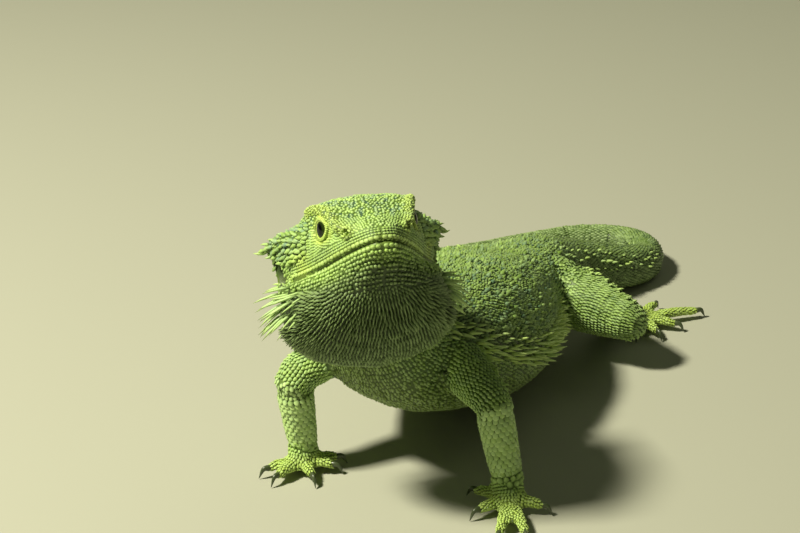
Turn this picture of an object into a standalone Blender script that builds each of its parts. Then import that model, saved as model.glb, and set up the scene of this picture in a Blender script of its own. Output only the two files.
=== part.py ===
"""A bearded dragon at life size, a still model standing alert on all four feet.

The animal's trunk lies along Y with the head towards -Y and its left side towards +X.
All sizes are in millimetres and are turned to metres when each mesh is made.
"""
import math

import bmesh
import bpy
import numpy as np
from mathutils import Vector

# ---------------------------------------------------------------- driving dimensions, mm
MM = 0.001
GAP = 0.3                    # clearance between the lengths of the body
CUT_CLEARANCE = 0.45         # clearance where one solid is trimmed by another

HEAD_TURN = 38.8             # degrees, turned to the animal's left of straight ahead
HEAD_LIFT = 30.4             # degrees, snout raised above the level
HEAD_ROLL = 1.2              # degrees, left side of the head raised
SNOUT = (16.7, -101.5, 102.0)
EYE_RADIUS = 4.3
EYE_PLACE = (20.0, 11.2, 7.5)    # behind the snout, sideways, above the mouth corner's level
CLAW_LENGTH = 3.5            # level distance from the end of the digit to the claw's tip
CLAW_RADIUS = 1.0
CLAW_BEND = 0.40             # where its bend is, of its length from the tip
CLAW_STANDOFF = 1.1          # from the end of a digit's middle line to the claw's root
CLAW_HEIGHTS = (3.5, 3.4, 0.3)   # of a claw's middle line at its root, bend and tip
DIGIT_HEIGHTS = (3.0, 4.1, 3.4)  # of a digit's middle line at the pad, knuckle and claw
DIGIT_RADII = (2.4, 1.9, 1.5)
BELLY_FULLNESS = 0.76        # below 1 the underside is squarer than an ellipse
FRINGE_SPREAD = 0.22         # how narrow the spined edge of the flank is
FOOT_GRAIN = 0.75            # grid that rounds a palm and its digits into one solid
FOOT_THINNING = 0.085        # share of that grid's faces that are kept
STUB_FIT = 0.98              # radius of a paw's stub, of the joint it meets
BACK_FULLNESS = 0.92         # as BELLY_FULLNESS, for the back
NECK_TURNED = 1.0            # stations over which the neck turns from the head's way to the spine's
NECK_RAISED = 2.0            # stations over which the neck's upper side turns upright

# Stations down the spine: where each is, half width, height above and depth below it, and
# how far the row of flank spines stands out there.
BODY = [
    ((-8.0, -70.7, 73.2), 20.0, 16.5, 15.0, 0.0),
    ((-7.5, -62.5, 61.0), 20.0, 16.5, 16.5, 0.0),
    ((-3.5, -52.0, 45.0), 24.0, 16.5, 22.0, 0.0),
    ((-1.5, -40.0, 39.0), 27.5, 22.0, 22.8, 0.6),
    ((-0.5, -25.0, 33.0), 30.5, 26.0, 22.0, 2.6),
    ((-0.5, -10.0, 28.0), 32.0, 27.5, 21.5, 4.4),
    ((-1.0, 5.0, 26.0), 31.5, 26.5, 21.0, 4.6),
    ((-1.0, 20.0, 25.0), 28.0, 23.0, 20.0, 4.2),
    ((-0.5, 35.0, 24.5), 23.0, 18.5, 17.5, 2.4),
    ((0.0, 50.0, 24.0), 19.0, 15.0, 14.0, 0.5),
    ((0.0, 62.0, 22.8), 16.5, 13.0, 11.8, 0.0),
    ((1.0, 73.0, 20.5), 14.0, 12.0, 10.8, 0.0),
    ((5.5, 88.0, 16.0), 11.2, 10.3, 9.8, 0.0),
    ((13.5, 102.0, 11.8), 9.6, 9.1, 9.0, 0.0),
    ((21.0, 113.0, 8.8), 8.2, 8.0, 8.4, 0.0),
    ((24.5, 125.0, 7.0), 7.4, 7.2, 7.5, 0.0),
    ((19.0, 136.0, 6.5), 6.9, 6.7, 7.0, 0.0),
    ((7.0, 140.5, 6.1), 6.5, 6.3, 6.6, 0.0),
    ((-7.0, 137.0, 5.7), 6.1, 5.9, 6.2, 0.0),
    ((-19.0, 128.5, 5.3), 5.7, 5.5, 5.8, 0.0),
    ((-31.0, 116.5, 4.9), 5.3, 5.1, 5.4, 0.0),
    ((-44.0, 104.0, 4.5), 4.9, 4.7, 5.0, 0.0),
    ((-58.0, 93.0, 4.1), 4.5, 4.3, 4.6, 0.0),
    ((-70.5, 80.0, 3.7), 4.1, 3.9, 4.2, 0.0),
    ((-78.0, 64.0, 3.3), 3.6, 3.5, 3.8, 0.0),
    ((-81.0, 46.0, 2.8), 3.1, 3.0, 3.2, 0.0),
    ((-79.0, 29.0, 2.2), 2.4, 2.4, 2.5, 0.0),
    ((-73.0, 13.0, 1.3), 1.4, 1.4, 1.5, 0.0),
]
# Where the spine is parted into lengths: name, first and last station, rings for each
# station, sides of a ring and colour.
LENGTHS = (
    ("neck", 0, 2, 3.0, 24, "body"),
    ("chest", 2, 5, 2.3, 24, "body"),
    ("belly", 5, 8, 2.3, 24, "body"),
    ("hips", 8, 11, 2.0, 24, "body"),
    ("tail_1", 11, 13, 2.0, 16, "tail"),
    ("tail_2", 13, 15, 2.0, 16, "tail"),
    ("tail_3", 15, 17, 2.5, 16, "tail"),
    ("tail_4", 17, 19, 2.0, 12, "tail"),
    ("tail_5", 19, 22, 2.0, 12, "tail"),
    ("tail_6", 22, 27, 2.0, 12, "tail"),
)

# The head's outline against the distance behind the snout tip. Half widths (y) and
# heights (z) of the crown, brow, eye socket, temple, cheek and lip.
HEAD_AT = (0.5, 3.0, 7.0, 12.0, 18.0, 24.0, 30.0, 36.0, 42.0, 47.7)
CROWN_Z = (3.2, 5.9, 8.3, 10.8, 14.0, 16.4, 17.1, 16.3, 14.0, 11.4)
BROW_Y = (1.8, 4.0, 6.6, 9.6, 13.2, 15.4, 16.2, 16.2, 14.8, 12.0)
BROW_Z = (2.9, 5.3, 7.3, 9.9, 13.6, 15.4, 15.2, 13.6, 11.0, 8.4)
SOCKET_Y = (2.3, 5.0, 7.9, 11.0, 13.4, 15.4, 18.0, 21.0, 23.2, 19.5)
TEMPLE_Y = (2.6, 5.5, 8.6, 11.8, 14.8, 17.4, 20.6, 25.0, 28.8, 22.5)
TEMPLE_Z = (1.9, 3.6, 4.6, 5.2, 5.4, 5.4, 5.2, 5.0, 4.8, 4.4)
CHEEK_Y = (2.8, 5.8, 9.0, 12.3, 15.3, 17.9, 20.6, 23.6, 26.6, 23.5)
CHEEK_Z = (0.9, 1.4, 1.6, 1.4, 0.8, 0.2, 0.0, 0.0, 0.0, 0.0)
LIP_Y = (2.4, 5.4, 8.6, 11.9, 14.8, 17.3, 19.4, 22.2, 25.4, 22.5)
MOUTH_Z = (-0.4, -0.7, -1.2, -2.0, -2.9, -3.6, -4.0, -4.0, -4.0, -4.0)
JAW_Z = (-2.4, -4.4, -6.2, -7.8, -9.4, -10.6, -11.4, -11.8, -11.6, -11.0)

JAW_END = 37.6               # the lower jaw stops at the mouth's corner and the beard goes on
BEARD_AT = (4.0, 9.0, 15.0, 21.0, 27.0, 33.0, 38.0, 43.0, 47.7)
BEARD_Y = (4.6, 9.6, 15.4, 20.4, 24.4, 27.2, 28.4, 28.2, 23.6)
BEARD_Z = (-7.0, -13.5, -21.5, -28.5, -33.0, -35.0, -34.0, -30.5, -21.0)
BEARD_SPINES = (0.0, 0.2, 0.8, 1.6, 2.8, 4.4, 5.6, 5.6, 1.5)
BEARD_RINGS = (4.0, 6.5, 10.0, 14.5, 19.0, 23.5, 28.0, 33.0, 37.9, 38.4, 42.0, 45.0, 47.7)
BEARD_SHOULDER = (0.92, 0.98)    # width at its top, of the lips' width, before and past the mouth
BEARD_EDGE = 0.35            # how far down its spined line lies
# The pouch below the spined line: share of the width, of the spines' reach, and how far down.
BEARD_POUCH = ((1.0, 0.1, 0.24), (0.88, 0.0, 0.55), (0.60, 0.0, 0.85), (0.0, 0.0, 1.0))
CROWN_SLOPE = 0.55           # where the crown's slope has its middle point
JAW_WIDTHS = (0.4, 0.86, 0.5)    # mm of bulge, then shares of its width at the heel and keel
SNOUT_CROWDING = 1.25        # above 1 the rings stand closer together towards the snout
HEAD_HALF_POINTS = 12        # points round half of each kind of ring
JAW_HALF_POINTS = 7
BEARD_HALF_POINTS = 11

BLUNT_LENGTH = 0.55          # a rod's rounded end: its length and small ring, of its radius
BLUNT_WIDTH = 0.6
LIMB_SIDES = 12
DIGIT_SIDES = 10
PAD_SIDES = 14
CLAW_SIDES = 6
UPRIGHT = 0.8                # upward share of a rod's direction, above which it counts as upright

# Limbs: joints from the body outwards, with the radius at each.
ARMS = {
    "left": [((15.0, -49.0, 42.0), 10.0), ((35.2, -60.9, 34.0), 6.4), ((41.4, -62.6, 9.5), 5.2)],
    "right": [((-17.0, -51.0, 43.0), 10.5), ((-29.6, -73.4, 34.5), 6.5), ((-27.9, -70.6, 9.0), 5.0)],
}
LEGS = {
    "left": [((12.0, 51.0, 23.5), 12.6), ((45.5, 43.0, 19.5), 7.4), ((30.0, 68.0, 7.0), 4.4)],
    "right": [((-12.0, 51.0, 23.5), 12.6), ((-45.0, 39.0, 20.0), 7.4), ((-33.0, 61.0, 7.0), 4.4)],
}
# Palms and soles: the middle of the pad, then where each claw tip touches, digits I to V.
HANDS = {
    "left": ((44.0, -66.5),
             ((28.6, -65.0), (35.6, -78.8), (49.4, -89.5), (57.9, -85.6), (57.9, -65.0))),
    "right": ((-27.5, -72.0),
              ((-16.0, -62.5), (-14.0, -69.5), (-18.0, -81.5), (-31.0, -87.0), (-37.5, -83.5))),
}
FEET = {
    "left": ((38.0, 78.5), ((42.0, 64.5), (50.0, 69.5), (55.0, 81.0), (58.0, 97.5), (39.5, 97.0))),
    "right": ((-43.0, 57.0), ((-42.0, 43.0), (-51.5, 41.0), (-61.5, 45.5), (-68.0, 57.0), (-53.0, 70.0))),
}
# Names of a limb's lengths and paw, how full its two lengths are, and the pad's radius.
ARM_KIND = (("upper_arm", "forearm", "hand"), (1.0, 1.02), 4.8)
LEG_KIND = (("thigh", "shank", "foot"), (1.12, 1.08), 4.6)

SKIN_COLOURS = {
    "head": (0.46, 0.53, 0.28),
    "beard": (0.30, 0.38, 0.17),
    "body": (0.36, 0.46, 0.26),
    "limb": (0.42, 0.53, 0.31),
    "tail": (0.34, 0.44, 0.25),
}
EYE_COLOUR = (0.12, 0.08, 0.02)
CLAW_COLOUR = (0.10, 0.11, 0.07)


# ---------------------------------------------------------------- plain tools
def clear_scene():
    for obj in list(bpy.data.objects):
        bpy.data.objects.remove(obj)


def material(name, colour, roughness):
    found = bpy.data.materials.get(name)
    if found:
        return found
    made = bpy.data.materials.new(name)
    made.use_nodes = True
    shader = made.node_tree.nodes["Principled BSDF"]
    shader.inputs["Base Color"].default_value = (*colour, 1.0)
    shader.inputs["Roughness"].default_value = roughness
    shader.inputs["Metallic"].default_value = 0.0
    return made


def curve_through(values, at):
    """Catmull-Rom value at a fractional index of an evenly indexed table."""
    table = np.asarray(values, dtype=float)
    last = len(table) - 1
    i = min(int(math.floor(at)), last - 1)
    u = at - i
    p1, p2 = table[i], table[i + 1]
    p0 = table[i - 1] if i > 0 else 2 * p1 - p2
    p3 = table[i + 2] if i + 2 <= last else 2 * p2 - p1
    return 0.5 * (2 * p1 + (p2 - p0) * u + (2 * p0 - 5 * p1 + 4 * p2 - p3) * u ** 2
                  + (3 * p1 - p0 - 3 * p2 + p3) * u ** 3)


def index_of(places, s):
    """Fractional index of the value s in a rising table of places."""
    i = max(0, min(int(np.searchsorted(places, s)) - 1, len(places) - 2))
    return i + (s - places[i]) / (places[i + 1] - places[i])


def unit(vector):
    return vector / np.linalg.norm(vector)


def mesh_object(name, points, faces, kind, roughness=0.75):
    """A closed solid from points in millimetres, its faces turned outwards."""
    mesh = bpy.data.meshes.new(name)
    mesh.from_pydata([tuple(np.asarray(p) * MM) for p in points], [], faces)
    shell = bmesh.new()
    shell.from_mesh(mesh)
    bmesh.ops.recalc_face_normals(shell, faces=shell.faces)
    if shell.calc_volume(signed=True) < 0:
        bmesh.ops.reverse_faces(shell, faces=shell.faces)
    shell.to_mesh(mesh)
    shell.free()
    mesh.shade_smooth()
    obj = bpy.data.objects.new(name, mesh)
    bpy.context.scene.collection.objects.link(obj)
    colour = {"eye": EYE_COLOUR, "claw": CLAW_COLOUR}.get(kind) or SKIN_COLOURS[kind]
    mesh.materials.append(material(kind, colour, roughness))
    return obj


def loft(name, rings, kind):
    """Skin a list of equal rings and close both ends with a fan."""
    sides = len(rings[0])
    points = [p for ring in rings for p in ring]
    faces = []
    for k in range(len(rings) - 1):
        for j in range(sides):
            a = k * sides + j
            b = k * sides + (j + 1) % sides
            faces.append((a, b, b + sides, a + sides))
    for k, flip in ((0, False), (len(rings) - 1, True)):
        middle = len(points)
        points.append(np.mean(rings[k], axis=0))
        for j in range(sides):
            a, b = k * sides + j, k * sides + (j + 1) % sides
            faces.append((a, middle, b) if not flip else (b, middle, a))
    return mesh_object(name, points, faces, kind)


def grown_copy(obj):
    """A hidden copy with every point moved out along its normal, to cut a neighbour with."""
    mesh = obj.data.copy()
    shell = bmesh.new()
    shell.from_mesh(mesh)
    shell.normal_update()
    moves = [(v, v.normal.copy()) for v in shell.verts]
    for vertex, normal in moves:
        vertex.co += normal * CUT_CLEARANCE * MM
    shell.to_mesh(mesh)
    shell.free()
    cutter = bpy.data.objects.new("cutter_" + obj.name, mesh)
    bpy.context.scene.collection.objects.link(cutter)
    cutter.hide_render = True
    cutter.display_type = "WIRE"
    return cutter


def keep_clear(target, *neighbours):
    """Trim the target where it would run into its neighbours."""
    for neighbour in neighbours:
        cut = target.modifiers.new("clear_" + neighbour.name, "BOOLEAN")
        cut.operation = "DIFFERENCE"
        cut.solver = "EXACT"
        cut.object = grown_copy(neighbour)


def settle(obj):
    """Replace an object's mesh with its modified shape."""
    bpy.context.view_layer.update()
    graph = bpy.context.evaluated_depsgraph_get()
    shaped = bpy.data.meshes.new_from_object(obj.evaluated_get(graph))
    obj.modifiers.clear()
    obj.data = shaped


def stand_on_floor(obj):
    """Cut the solid flat where it would go below the floor."""
    shell = bmesh.new()
    shell.from_mesh(obj.data)
    cut = bmesh.ops.bisect_plane(
        shell, geom=shell.verts[:] + shell.edges[:] + shell.faces[:], dist=1e-6,
        plane_co=(0, 0, 0), plane_no=(0, 0, -1), clear_outer=True)
    rim = [e for e in cut["geom_cut"] if isinstance(e, bmesh.types.BMEdge)]
    bmesh.ops.holes_fill(shell, edges=rim, sides=0)
    bmesh.ops.triangulate(shell, faces=shell.faces[:])
    shell.to_mesh(obj.data)
    shell.free()


# ---------------------------------------------------------------- the head's own frame
def head_axes():
    """Forward, left and up of the head in the animal's frame."""
    turn, lift, roll = (math.radians(a) for a in (HEAD_TURN, HEAD_LIFT, HEAD_ROLL))
    forward = np.array([math.sin(turn) * math.cos(lift), -math.cos(turn) * math.cos(lift), math.sin(lift)])
    level_left = np.array([math.cos(turn), math.sin(turn), 0.0])
    level_up = np.cross(forward, level_left)
    left = math.cos(roll) * level_left + math.sin(roll) * level_up
    return forward, left, np.cross(forward, left)


FORWARD, LEFT, UP = head_axes()


def on_head(behind, side, height):
    return np.array(SNOUT) - behind * FORWARD + side * LEFT + height * UP


def head_value(table, s):
    return float(curve_through(table, index_of(HEAD_AT, s)))


def beard_value(table, s):
    return float(curve_through(table, index_of(BEARD_AT, s)))


def both_sides(half):
    """A whole ring from its left half, which runs from the top middle to the bottom middle."""
    mirrored = [(-y, z) for y, z in half[-2:0:-1]]
    return half + mirrored


def smooth_half(corners, count):
    """Points along a smooth curve through the corners of a half outline."""
    steps = np.linspace(0, len(corners) - 1, count)
    return [tuple(curve_through(corners, t)) for t in steps]


def head_ring(s):
    """The skull's outline, with rounded edges at the brow, temple and lip."""
    brow_y, brow_z, crown_z = (head_value(t, s) for t in (BROW_Y, BROW_Z, CROWN_Z))
    socket_y, temple_y, temple_z = (head_value(t, s) for t in (SOCKET_Y, TEMPLE_Y, TEMPLE_Z))
    cheek_y, cheek_z = (head_value(t, s) for t in (CHEEK_Y, CHEEK_Z))
    lip_y, mouth_z = (head_value(t, s) for t in (LIP_Y, MOUTH_Z))
    slope = CROWN_SLOPE
    corners = [
        (0.0, crown_z),
        (slope * brow_y, (1.0 - slope) * crown_z + slope * brow_z),
        (brow_y, brow_z),
        (socket_y, 0.5 * (brow_z + temple_z)),
        (temple_y, temple_z),
        (cheek_y, cheek_z),
        (lip_y, mouth_z),
    ]
    half = smooth_half(corners, HEAD_HALF_POINTS) + [(0.0, mouth_z)]
    return [on_head(s, y, z) for y, z in both_sides(half)]


def jaw_ring(s):
    """The lower jaw's outline: flat against the skull, rounded underneath."""
    lip_y, mouth_z, jaw_z = (head_value(t, s) for t in (LIP_Y, MOUTH_Z, JAW_Z))
    top = mouth_z - GAP
    side = lip_y - GAP
    bulge, heel, keel = JAW_WIDTHS
    corners = [
        (side, top),
        (side + bulge, 0.5 * (top + jaw_z)),
        (heel * side, 0.9 * jaw_z),
        (keel * side, jaw_z),
    ]
    half = [(0.0, top), (keel * side, top)] + smooth_half(corners, JAW_HALF_POINTS) + [(0.0, jaw_z)]
    return [on_head(s, y, z) for y, z in both_sides(half)]


def beard_ring(s):
    """The hanging beard: a pouch below the jaw, spined along its widest line."""
    width, bottom, spines = (beard_value(t, s) for t in (BEARD_Y, BEARD_Z, BEARD_SPINES))
    past_mouth = s > JAW_END + 0.5
    top = head_value(MOUTH_Z if past_mouth else JAW_Z, s) - GAP
    shoulder = min(BEARD_SHOULDER[past_mouth] * head_value(LIP_Y, s), width)
    edge = min(top - 1.0, BEARD_EDGE * bottom)
    corners = [(shoulder, top), (0.5 * (shoulder + width) + 0.4 * spines, 0.6 * top + 0.4 * edge),
               (width + spines, edge)]
    corners += [(share * width + reach * spines, (1.0 - down) * edge + down * bottom)
                for share, reach, down in BEARD_POUCH]
    half = [(0.0, top), (0.5 * shoulder, top)] + smooth_half(corners, BEARD_HALF_POINTS)
    return [on_head(s, y, z) for y, z in both_sides(half)]


def head_steps(start, end, count):
    """Places along the head, closer together towards the snout."""
    return [start + (end - start) * (k / (count - 1)) ** SNOUT_CROWDING for k in range(count)]


def eye(side):
    behind, out, height = EYE_PLACE
    sign = 1 if side == "left" else -1
    centre = on_head(behind, sign * out, height)
    ball = bmesh.new()
    bmesh.ops.create_uvsphere(ball, u_segments=14, v_segments=8, radius=EYE_RADIUS)
    points = [centre + np.array(v.co) for v in ball.verts]
    faces = [tuple(v.index for v in f.verts) for f in ball.faces]
    ball.free()
    return mesh_object("eye_" + side, points, faces, "eye")


def build_head():
    skull = loft("head", [head_ring(s) for s in head_steps(HEAD_AT[0], HEAD_AT[-1], 17)], "head")
    loft("lower_jaw", [jaw_ring(s) for s in head_steps(1.2, JAW_END, 13)], "head")
    beard = loft("beard", [beard_ring(s) for s in BEARD_RINGS], "beard")
    eyes = [eye("left"), eye("right")]
    for ball in eyes:
        keep_clear(skull, ball)
    return beard


# ---------------------------------------------------------------- neck, trunk and tail
def body_ring(row, tangent, dorsal, sides):
    """A ring round the spine: a domed back, a fuller belly and a spined edge between them."""
    centre, width, above, below, fringe = row[:3], *row[3:]
    across = unit(np.cross(tangent, dorsal))
    upward = unit(np.cross(across, tangent))
    ring = []
    for k in range(sides):
        angle = 2 * math.pi * k / sides
        c, s = math.cos(angle), math.sin(angle)
        tall, fullness = (above, BACK_FULLNESS) if s > 0 else (below, BELLY_FULLNESS)
        y = math.copysign(width * abs(c) ** fullness, c)
        z = math.copysign(tall * abs(s) ** fullness, s)
        y += math.copysign(fringe * math.exp(-(s / FRINGE_SPREAD) ** 2), c)
        ring.append(centre + y * across + z * upward)
    return ring


def path_tangent(table, t):
    last = len(table) - 1
    ahead = curve_through(table, min(t + 0.02, last))
    behind = curve_through(table, max(t - 0.02, 0))
    return unit((ahead - behind)[:3])


def body_length(name, table, start, end, detail, sides, kind):
    """One length of the body between two stations, drawn back by half the gap at each end."""
    count = max(2, int(round((end - start) * detail)) + 1)
    rings = []
    for k, t in enumerate(np.linspace(start, end, count)):
        tangent = path_tangent(table, t)
        nearness = max(0.0, 1.0 - t / NECK_TURNED)
        tangent = unit((1.0 - nearness) * tangent - nearness * FORWARD)
        raised = max(0.0, 1.0 - t / NECK_RAISED)
        dorsal = raised * UP + (1.0 - raised) * np.array([0.0, 0.0, 1.0])
        ring = body_ring(curve_through(table, t), tangent, dorsal, sides)
        draw_back = {0: 0.5 * GAP, count - 1: -0.5 * GAP}.get(k, 0.0)
        rings.append([p + draw_back * tangent for p in ring])
    return loft(name, rings, kind)


def build_body():
    """Neck, trunk and tail follow one spine, so that their ends match face to face."""
    table = np.array([[*place, *sizes] for place, *sizes in BODY])
    made = {}
    for name, *plan in LENGTHS:
        made[name] = body_length(name, table, *plan)
        if name.startswith("tail"):
            stand_on_floor(made[name])
    return made


# ---------------------------------------------------------------- limbs
def first_across(tangent):
    """A direction square to a rod's tangent at its start, level unless the rod starts upright."""
    helper = (0.0, 0.0, 1.0) if abs(tangent[2]) < UPRIGHT else (1.0, 0.0, 0.0)
    return np.cross(tangent, helper)


def round_ring(centre, tangent, across, radius, sides):
    upward = np.cross(across, tangent)
    angles = [2 * math.pi * k / sides for k in range(sides)]
    return [centre + radius * (math.cos(a) * across + math.sin(a) * upward) for a in angles]


def end_ring(row, tangent, across, outward, sides):
    """The small ring that rounds over a blunt end, outward 1 or -1 along the tangent."""
    centre = row[:3] + outward * BLUNT_LENGTH * row[3] * tangent
    return round_ring(centre, tangent, across, BLUNT_WIDTH * row[3], sides)


def rod_rings(points, radii, sides, along=3, blunt=True):
    """Rings of a bent, tapering rod, its ends rounded over if it is blunt."""
    table = np.array([[*p, r] for p, r in zip(points, radii)])
    rings = []
    last = len(points) - 1
    places = np.linspace(0, last, last * along + 1)
    across = first_across(path_tangent(table, 0))
    for t in places:
        row = curve_through(table, t)
        tangent = path_tangent(table, t)
        across = unit(across - np.dot(across, tangent) * tangent)
        if t == 0 and blunt:
            rings.append(end_ring(row, tangent, across, -1, sides))
        rings.append(round_ring(row[:3], tangent, across, row[3], sides))
        if t == last and blunt:
            rings.append(end_ring(row, tangent, across, 1, sides))
    return rings


def limb_segment(name, start, end, swell):
    """A length of limb between two joints, a little fuller in its middle."""
    (a, ra), (b, rb) = start, end
    middle = 0.5 * (np.array(a) + np.array(b))
    rings = rod_rings([a, tuple(middle), b], [ra, swell * 0.5 * (ra + rb), rb], LIMB_SIDES, along=2)
    return loft(name, rings, "limb")


def digit_line(pad, tip):
    """Middle line of one digit, from the pad over the knuckle down to its claw."""
    start, end = np.array(pad), np.array(tip)
    knuckle = 0.5 * (start + end)
    stop = end - CLAW_LENGTH * unit(end - start)
    return [(*place, height) for place, height in zip((start, knuckle, stop), DIGIT_HEIGHTS)]


def joined(name, rough):
    """Several overlapping meshes as one object."""
    shell = bmesh.new()
    for obj in rough:
        shell.from_mesh(obj.data)
    shell.to_mesh(rough[0].data)
    shell.free()
    for obj in rough[1:]:
        bpy.data.objects.remove(obj)
    rough[0].name = name
    return rough[0]


def paw(name, pad, tips, joint, pad_size):
    """Pad, digits and the stub of the joint above, rounded into one solid."""
    rods = [rod_rings(digit_line(pad, tip), DIGIT_RADII, DIGIT_SIDES) for tip in tips]
    (jx, jy, jz), joint_radius = joint
    stub = [(*pad, DIGIT_HEIGHTS[0]), (jx, jy, jz)]
    rods.append(rod_rings(stub, [pad_size, STUB_FIT * joint_radius], PAD_SIDES))
    rough = [loft("%s_%d" % (name, k), rings, "limb") for k, rings in enumerate(rods)]
    whole = joined(name, rough)
    rounding = whole.modifiers.new("rounding", "REMESH")
    rounding.mode = "VOXEL"
    rounding.voxel_size = FOOT_GRAIN * MM
    thinning = whole.modifiers.new("thinning", "DECIMATE")
    thinning.ratio = FOOT_THINNING
    settle(whole)
    stand_on_floor(whole)
    whole.data.shade_smooth()
    return whole


def claw(name, pad, tip):
    """A curved, tapering claw from just clear of its digit down to the floor."""
    start, end = np.array(pad), np.array(tip)
    ahead = unit(end - start)
    root = end - ahead * (CLAW_LENGTH - CLAW_STANDOFF)
    bend = end - ahead * CLAW_BEND * CLAW_LENGTH
    points = [(*place, height) for place, height in zip((root, bend, end), CLAW_HEIGHTS)]
    radii = [CLAW_RADIUS, 0.75 * CLAW_RADIUS, 0.25 * CLAW_RADIUS]
    loft(name, rod_rings(points, radii, CLAW_SIDES, along=1, blunt=False), "claw")


def build_limb(side, joints, paw_plan, kind, trunk):
    """Upper and lower lengths, the paw and its five claws."""
    (upper_name, lower_name, paw_name), fullness, pad_size = kind
    pad, tips = paw_plan
    upper = limb_segment(upper_name + "_" + side, joints[0], joints[1], fullness[0])
    lower = limb_segment(lower_name + "_" + side, joints[1], joints[2], fullness[1])
    foot = paw(paw_name + "_" + side, pad, tips, joints[2], pad_size)
    keep_clear(lower, foot, upper)
    keep_clear(upper, *trunk)
    keep_clear(lower, *trunk)
    for k, tip in enumerate(tips):
        claw("claw_%s_%s_%d" % (paw_name, side, k + 1), pad, tip)


def settle_on_origin():
    """Move everything so that the origin is at the middle of the footprint."""
    bpy.context.view_layer.update()
    solids = [o for o in bpy.data.objects if o.type == "MESH" and not o.hide_render]
    corners = np.array([o.matrix_world @ Vector(c) for o in solids for c in o.bound_box])
    low, high = corners.min(axis=0), corners.max(axis=0)
    shift = Vector((-0.5 * (low[0] + high[0]), -0.5 * (low[1] + high[1]), 0.0))
    for obj in bpy.data.objects:
        obj.location += shift
    print("moved to the origin by mm:", [round(v / MM, 2) for v in shift])


def build():
    clear_scene()
    beard = build_head()
    body = build_body()
    keep_clear(beard, body["neck"], body["chest"])
    for side in ("left", "right"):
        build_limb(side, ARMS[side], HANDS[side], ARM_KIND, (body["neck"], body["chest"]))
        build_limb(side, LEGS[side], FEET[side], LEG_KIND, (body["belly"], body["hips"]))
    settle_on_origin()


build()
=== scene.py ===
# %% [markdown]
# # A bearded dragon, scale by scale
# The model is a life-size lizard standing alert on all four feet. Simple solids already give
# its outline. This lesson dresses them: one skin is drawn over all the flesh, the face is
# modelled into it, and thousands of small solid scales are sown over it in rows, as they
# grow on the real animal. Eyes and claws are pieces of their own.
#
# Everything is worked out in millimetres, because that is how a lizard is measured, and is
# turned into metres only when a mesh is made.

# %% Load the solids
import math

import bmesh
import bpy
import numpy as np
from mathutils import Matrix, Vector
from mathutils.bvhtree import BVHTree


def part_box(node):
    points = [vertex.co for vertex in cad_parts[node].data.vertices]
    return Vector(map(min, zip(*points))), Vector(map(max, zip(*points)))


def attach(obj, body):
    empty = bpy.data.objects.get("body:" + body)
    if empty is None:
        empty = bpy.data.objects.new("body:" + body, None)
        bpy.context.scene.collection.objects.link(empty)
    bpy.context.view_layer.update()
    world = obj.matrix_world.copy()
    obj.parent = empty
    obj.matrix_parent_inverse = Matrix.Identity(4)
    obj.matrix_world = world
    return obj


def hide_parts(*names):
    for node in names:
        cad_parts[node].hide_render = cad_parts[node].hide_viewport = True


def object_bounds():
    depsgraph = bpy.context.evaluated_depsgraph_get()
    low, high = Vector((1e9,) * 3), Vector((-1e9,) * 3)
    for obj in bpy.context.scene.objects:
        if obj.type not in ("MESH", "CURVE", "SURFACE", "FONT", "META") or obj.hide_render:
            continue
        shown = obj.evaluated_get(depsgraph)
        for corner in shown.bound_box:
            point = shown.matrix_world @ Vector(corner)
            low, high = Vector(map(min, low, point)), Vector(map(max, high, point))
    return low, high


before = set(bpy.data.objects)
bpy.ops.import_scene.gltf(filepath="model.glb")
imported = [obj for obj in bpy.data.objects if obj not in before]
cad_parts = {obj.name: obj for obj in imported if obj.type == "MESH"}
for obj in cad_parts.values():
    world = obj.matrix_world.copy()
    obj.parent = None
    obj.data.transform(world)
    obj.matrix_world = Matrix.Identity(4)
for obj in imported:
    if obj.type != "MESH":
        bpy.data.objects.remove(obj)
cad_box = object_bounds()
MM = 0.001
chance = np.random.default_rng(11)
print("solids:", len(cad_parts))

# %% [markdown]
# ## A few small helpers
# A colour that a painter would pick from a chart is an sRGB hex value. The renderer adds and
# multiplies light, so it needs the linear value. One function turns one into the other. Of
# the rest, one adds a node to a material in a single line, one starts a material, one stands
# a mesh, light or camera in the scene, and one stores a number on every point of a mesh. A
# noise laid by places in metres has as many features in a metre as its scale says, so the
# last one works the scale out from the size that a feature has on the animal.


# %% Helpers for colours, materials and objects
def hex_colour(code):
    """Linear colour with alpha from an sRGB hex code such as B9C98A."""
    values = [int(code[i:i + 2], 16) / 255 for i in (0, 2, 4)]
    linear = [v / 12.92 if v <= 0.04045 else ((v + 0.055) / 1.055) ** 2.4 for v in values]
    return (*linear, 1.0)


def add_node(tree, kind, links=(), numbered=(), **settings):
    """Add a node. Settings name its properties or, where they end in _in, its sockets. A socket
    that shares its name with another is set in numbered, by its number."""
    node = tree.nodes.new(kind)
    for key, value in settings.items():
        if key.endswith("_in"):
            node.inputs[key[:-3].replace("_", " ")].default_value = value
        else:
            setattr(node, key, value)
    for socket, value in numbered:
        node.inputs[socket].default_value = value
    for source, socket in links:
        tree.links.new(source, node.inputs[socket])
    return node


def new_material(name, **settings):
    """A material and its shader. Settings name the shader's sockets."""
    made = bpy.data.materials.new(name)
    made.use_nodes = True
    shader = made.node_tree.nodes["Principled BSDF"]
    for key, value in settings.items():
        shader.inputs[key.replace("_", " ")].default_value = value
    return made, shader


def stand(name, data):
    """An object in the scene that shows a mesh, a light or a camera."""
    made = bpy.data.objects.new(name, data)
    bpy.context.scene.collection.objects.link(made)
    return made


def store(mesh, name, values):
    """Keep a number for every point of a mesh, where a material can read it."""
    mesh.attributes.new(name, "FLOAT", "POINT").data.foreach_set("value", np.asarray(values, dtype=float))


def noise_scale(feature):
    """Scale of a noise, laid by places in metres, whose features are so many mm across."""
    return 1.0 / (feature * MM)


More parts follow.
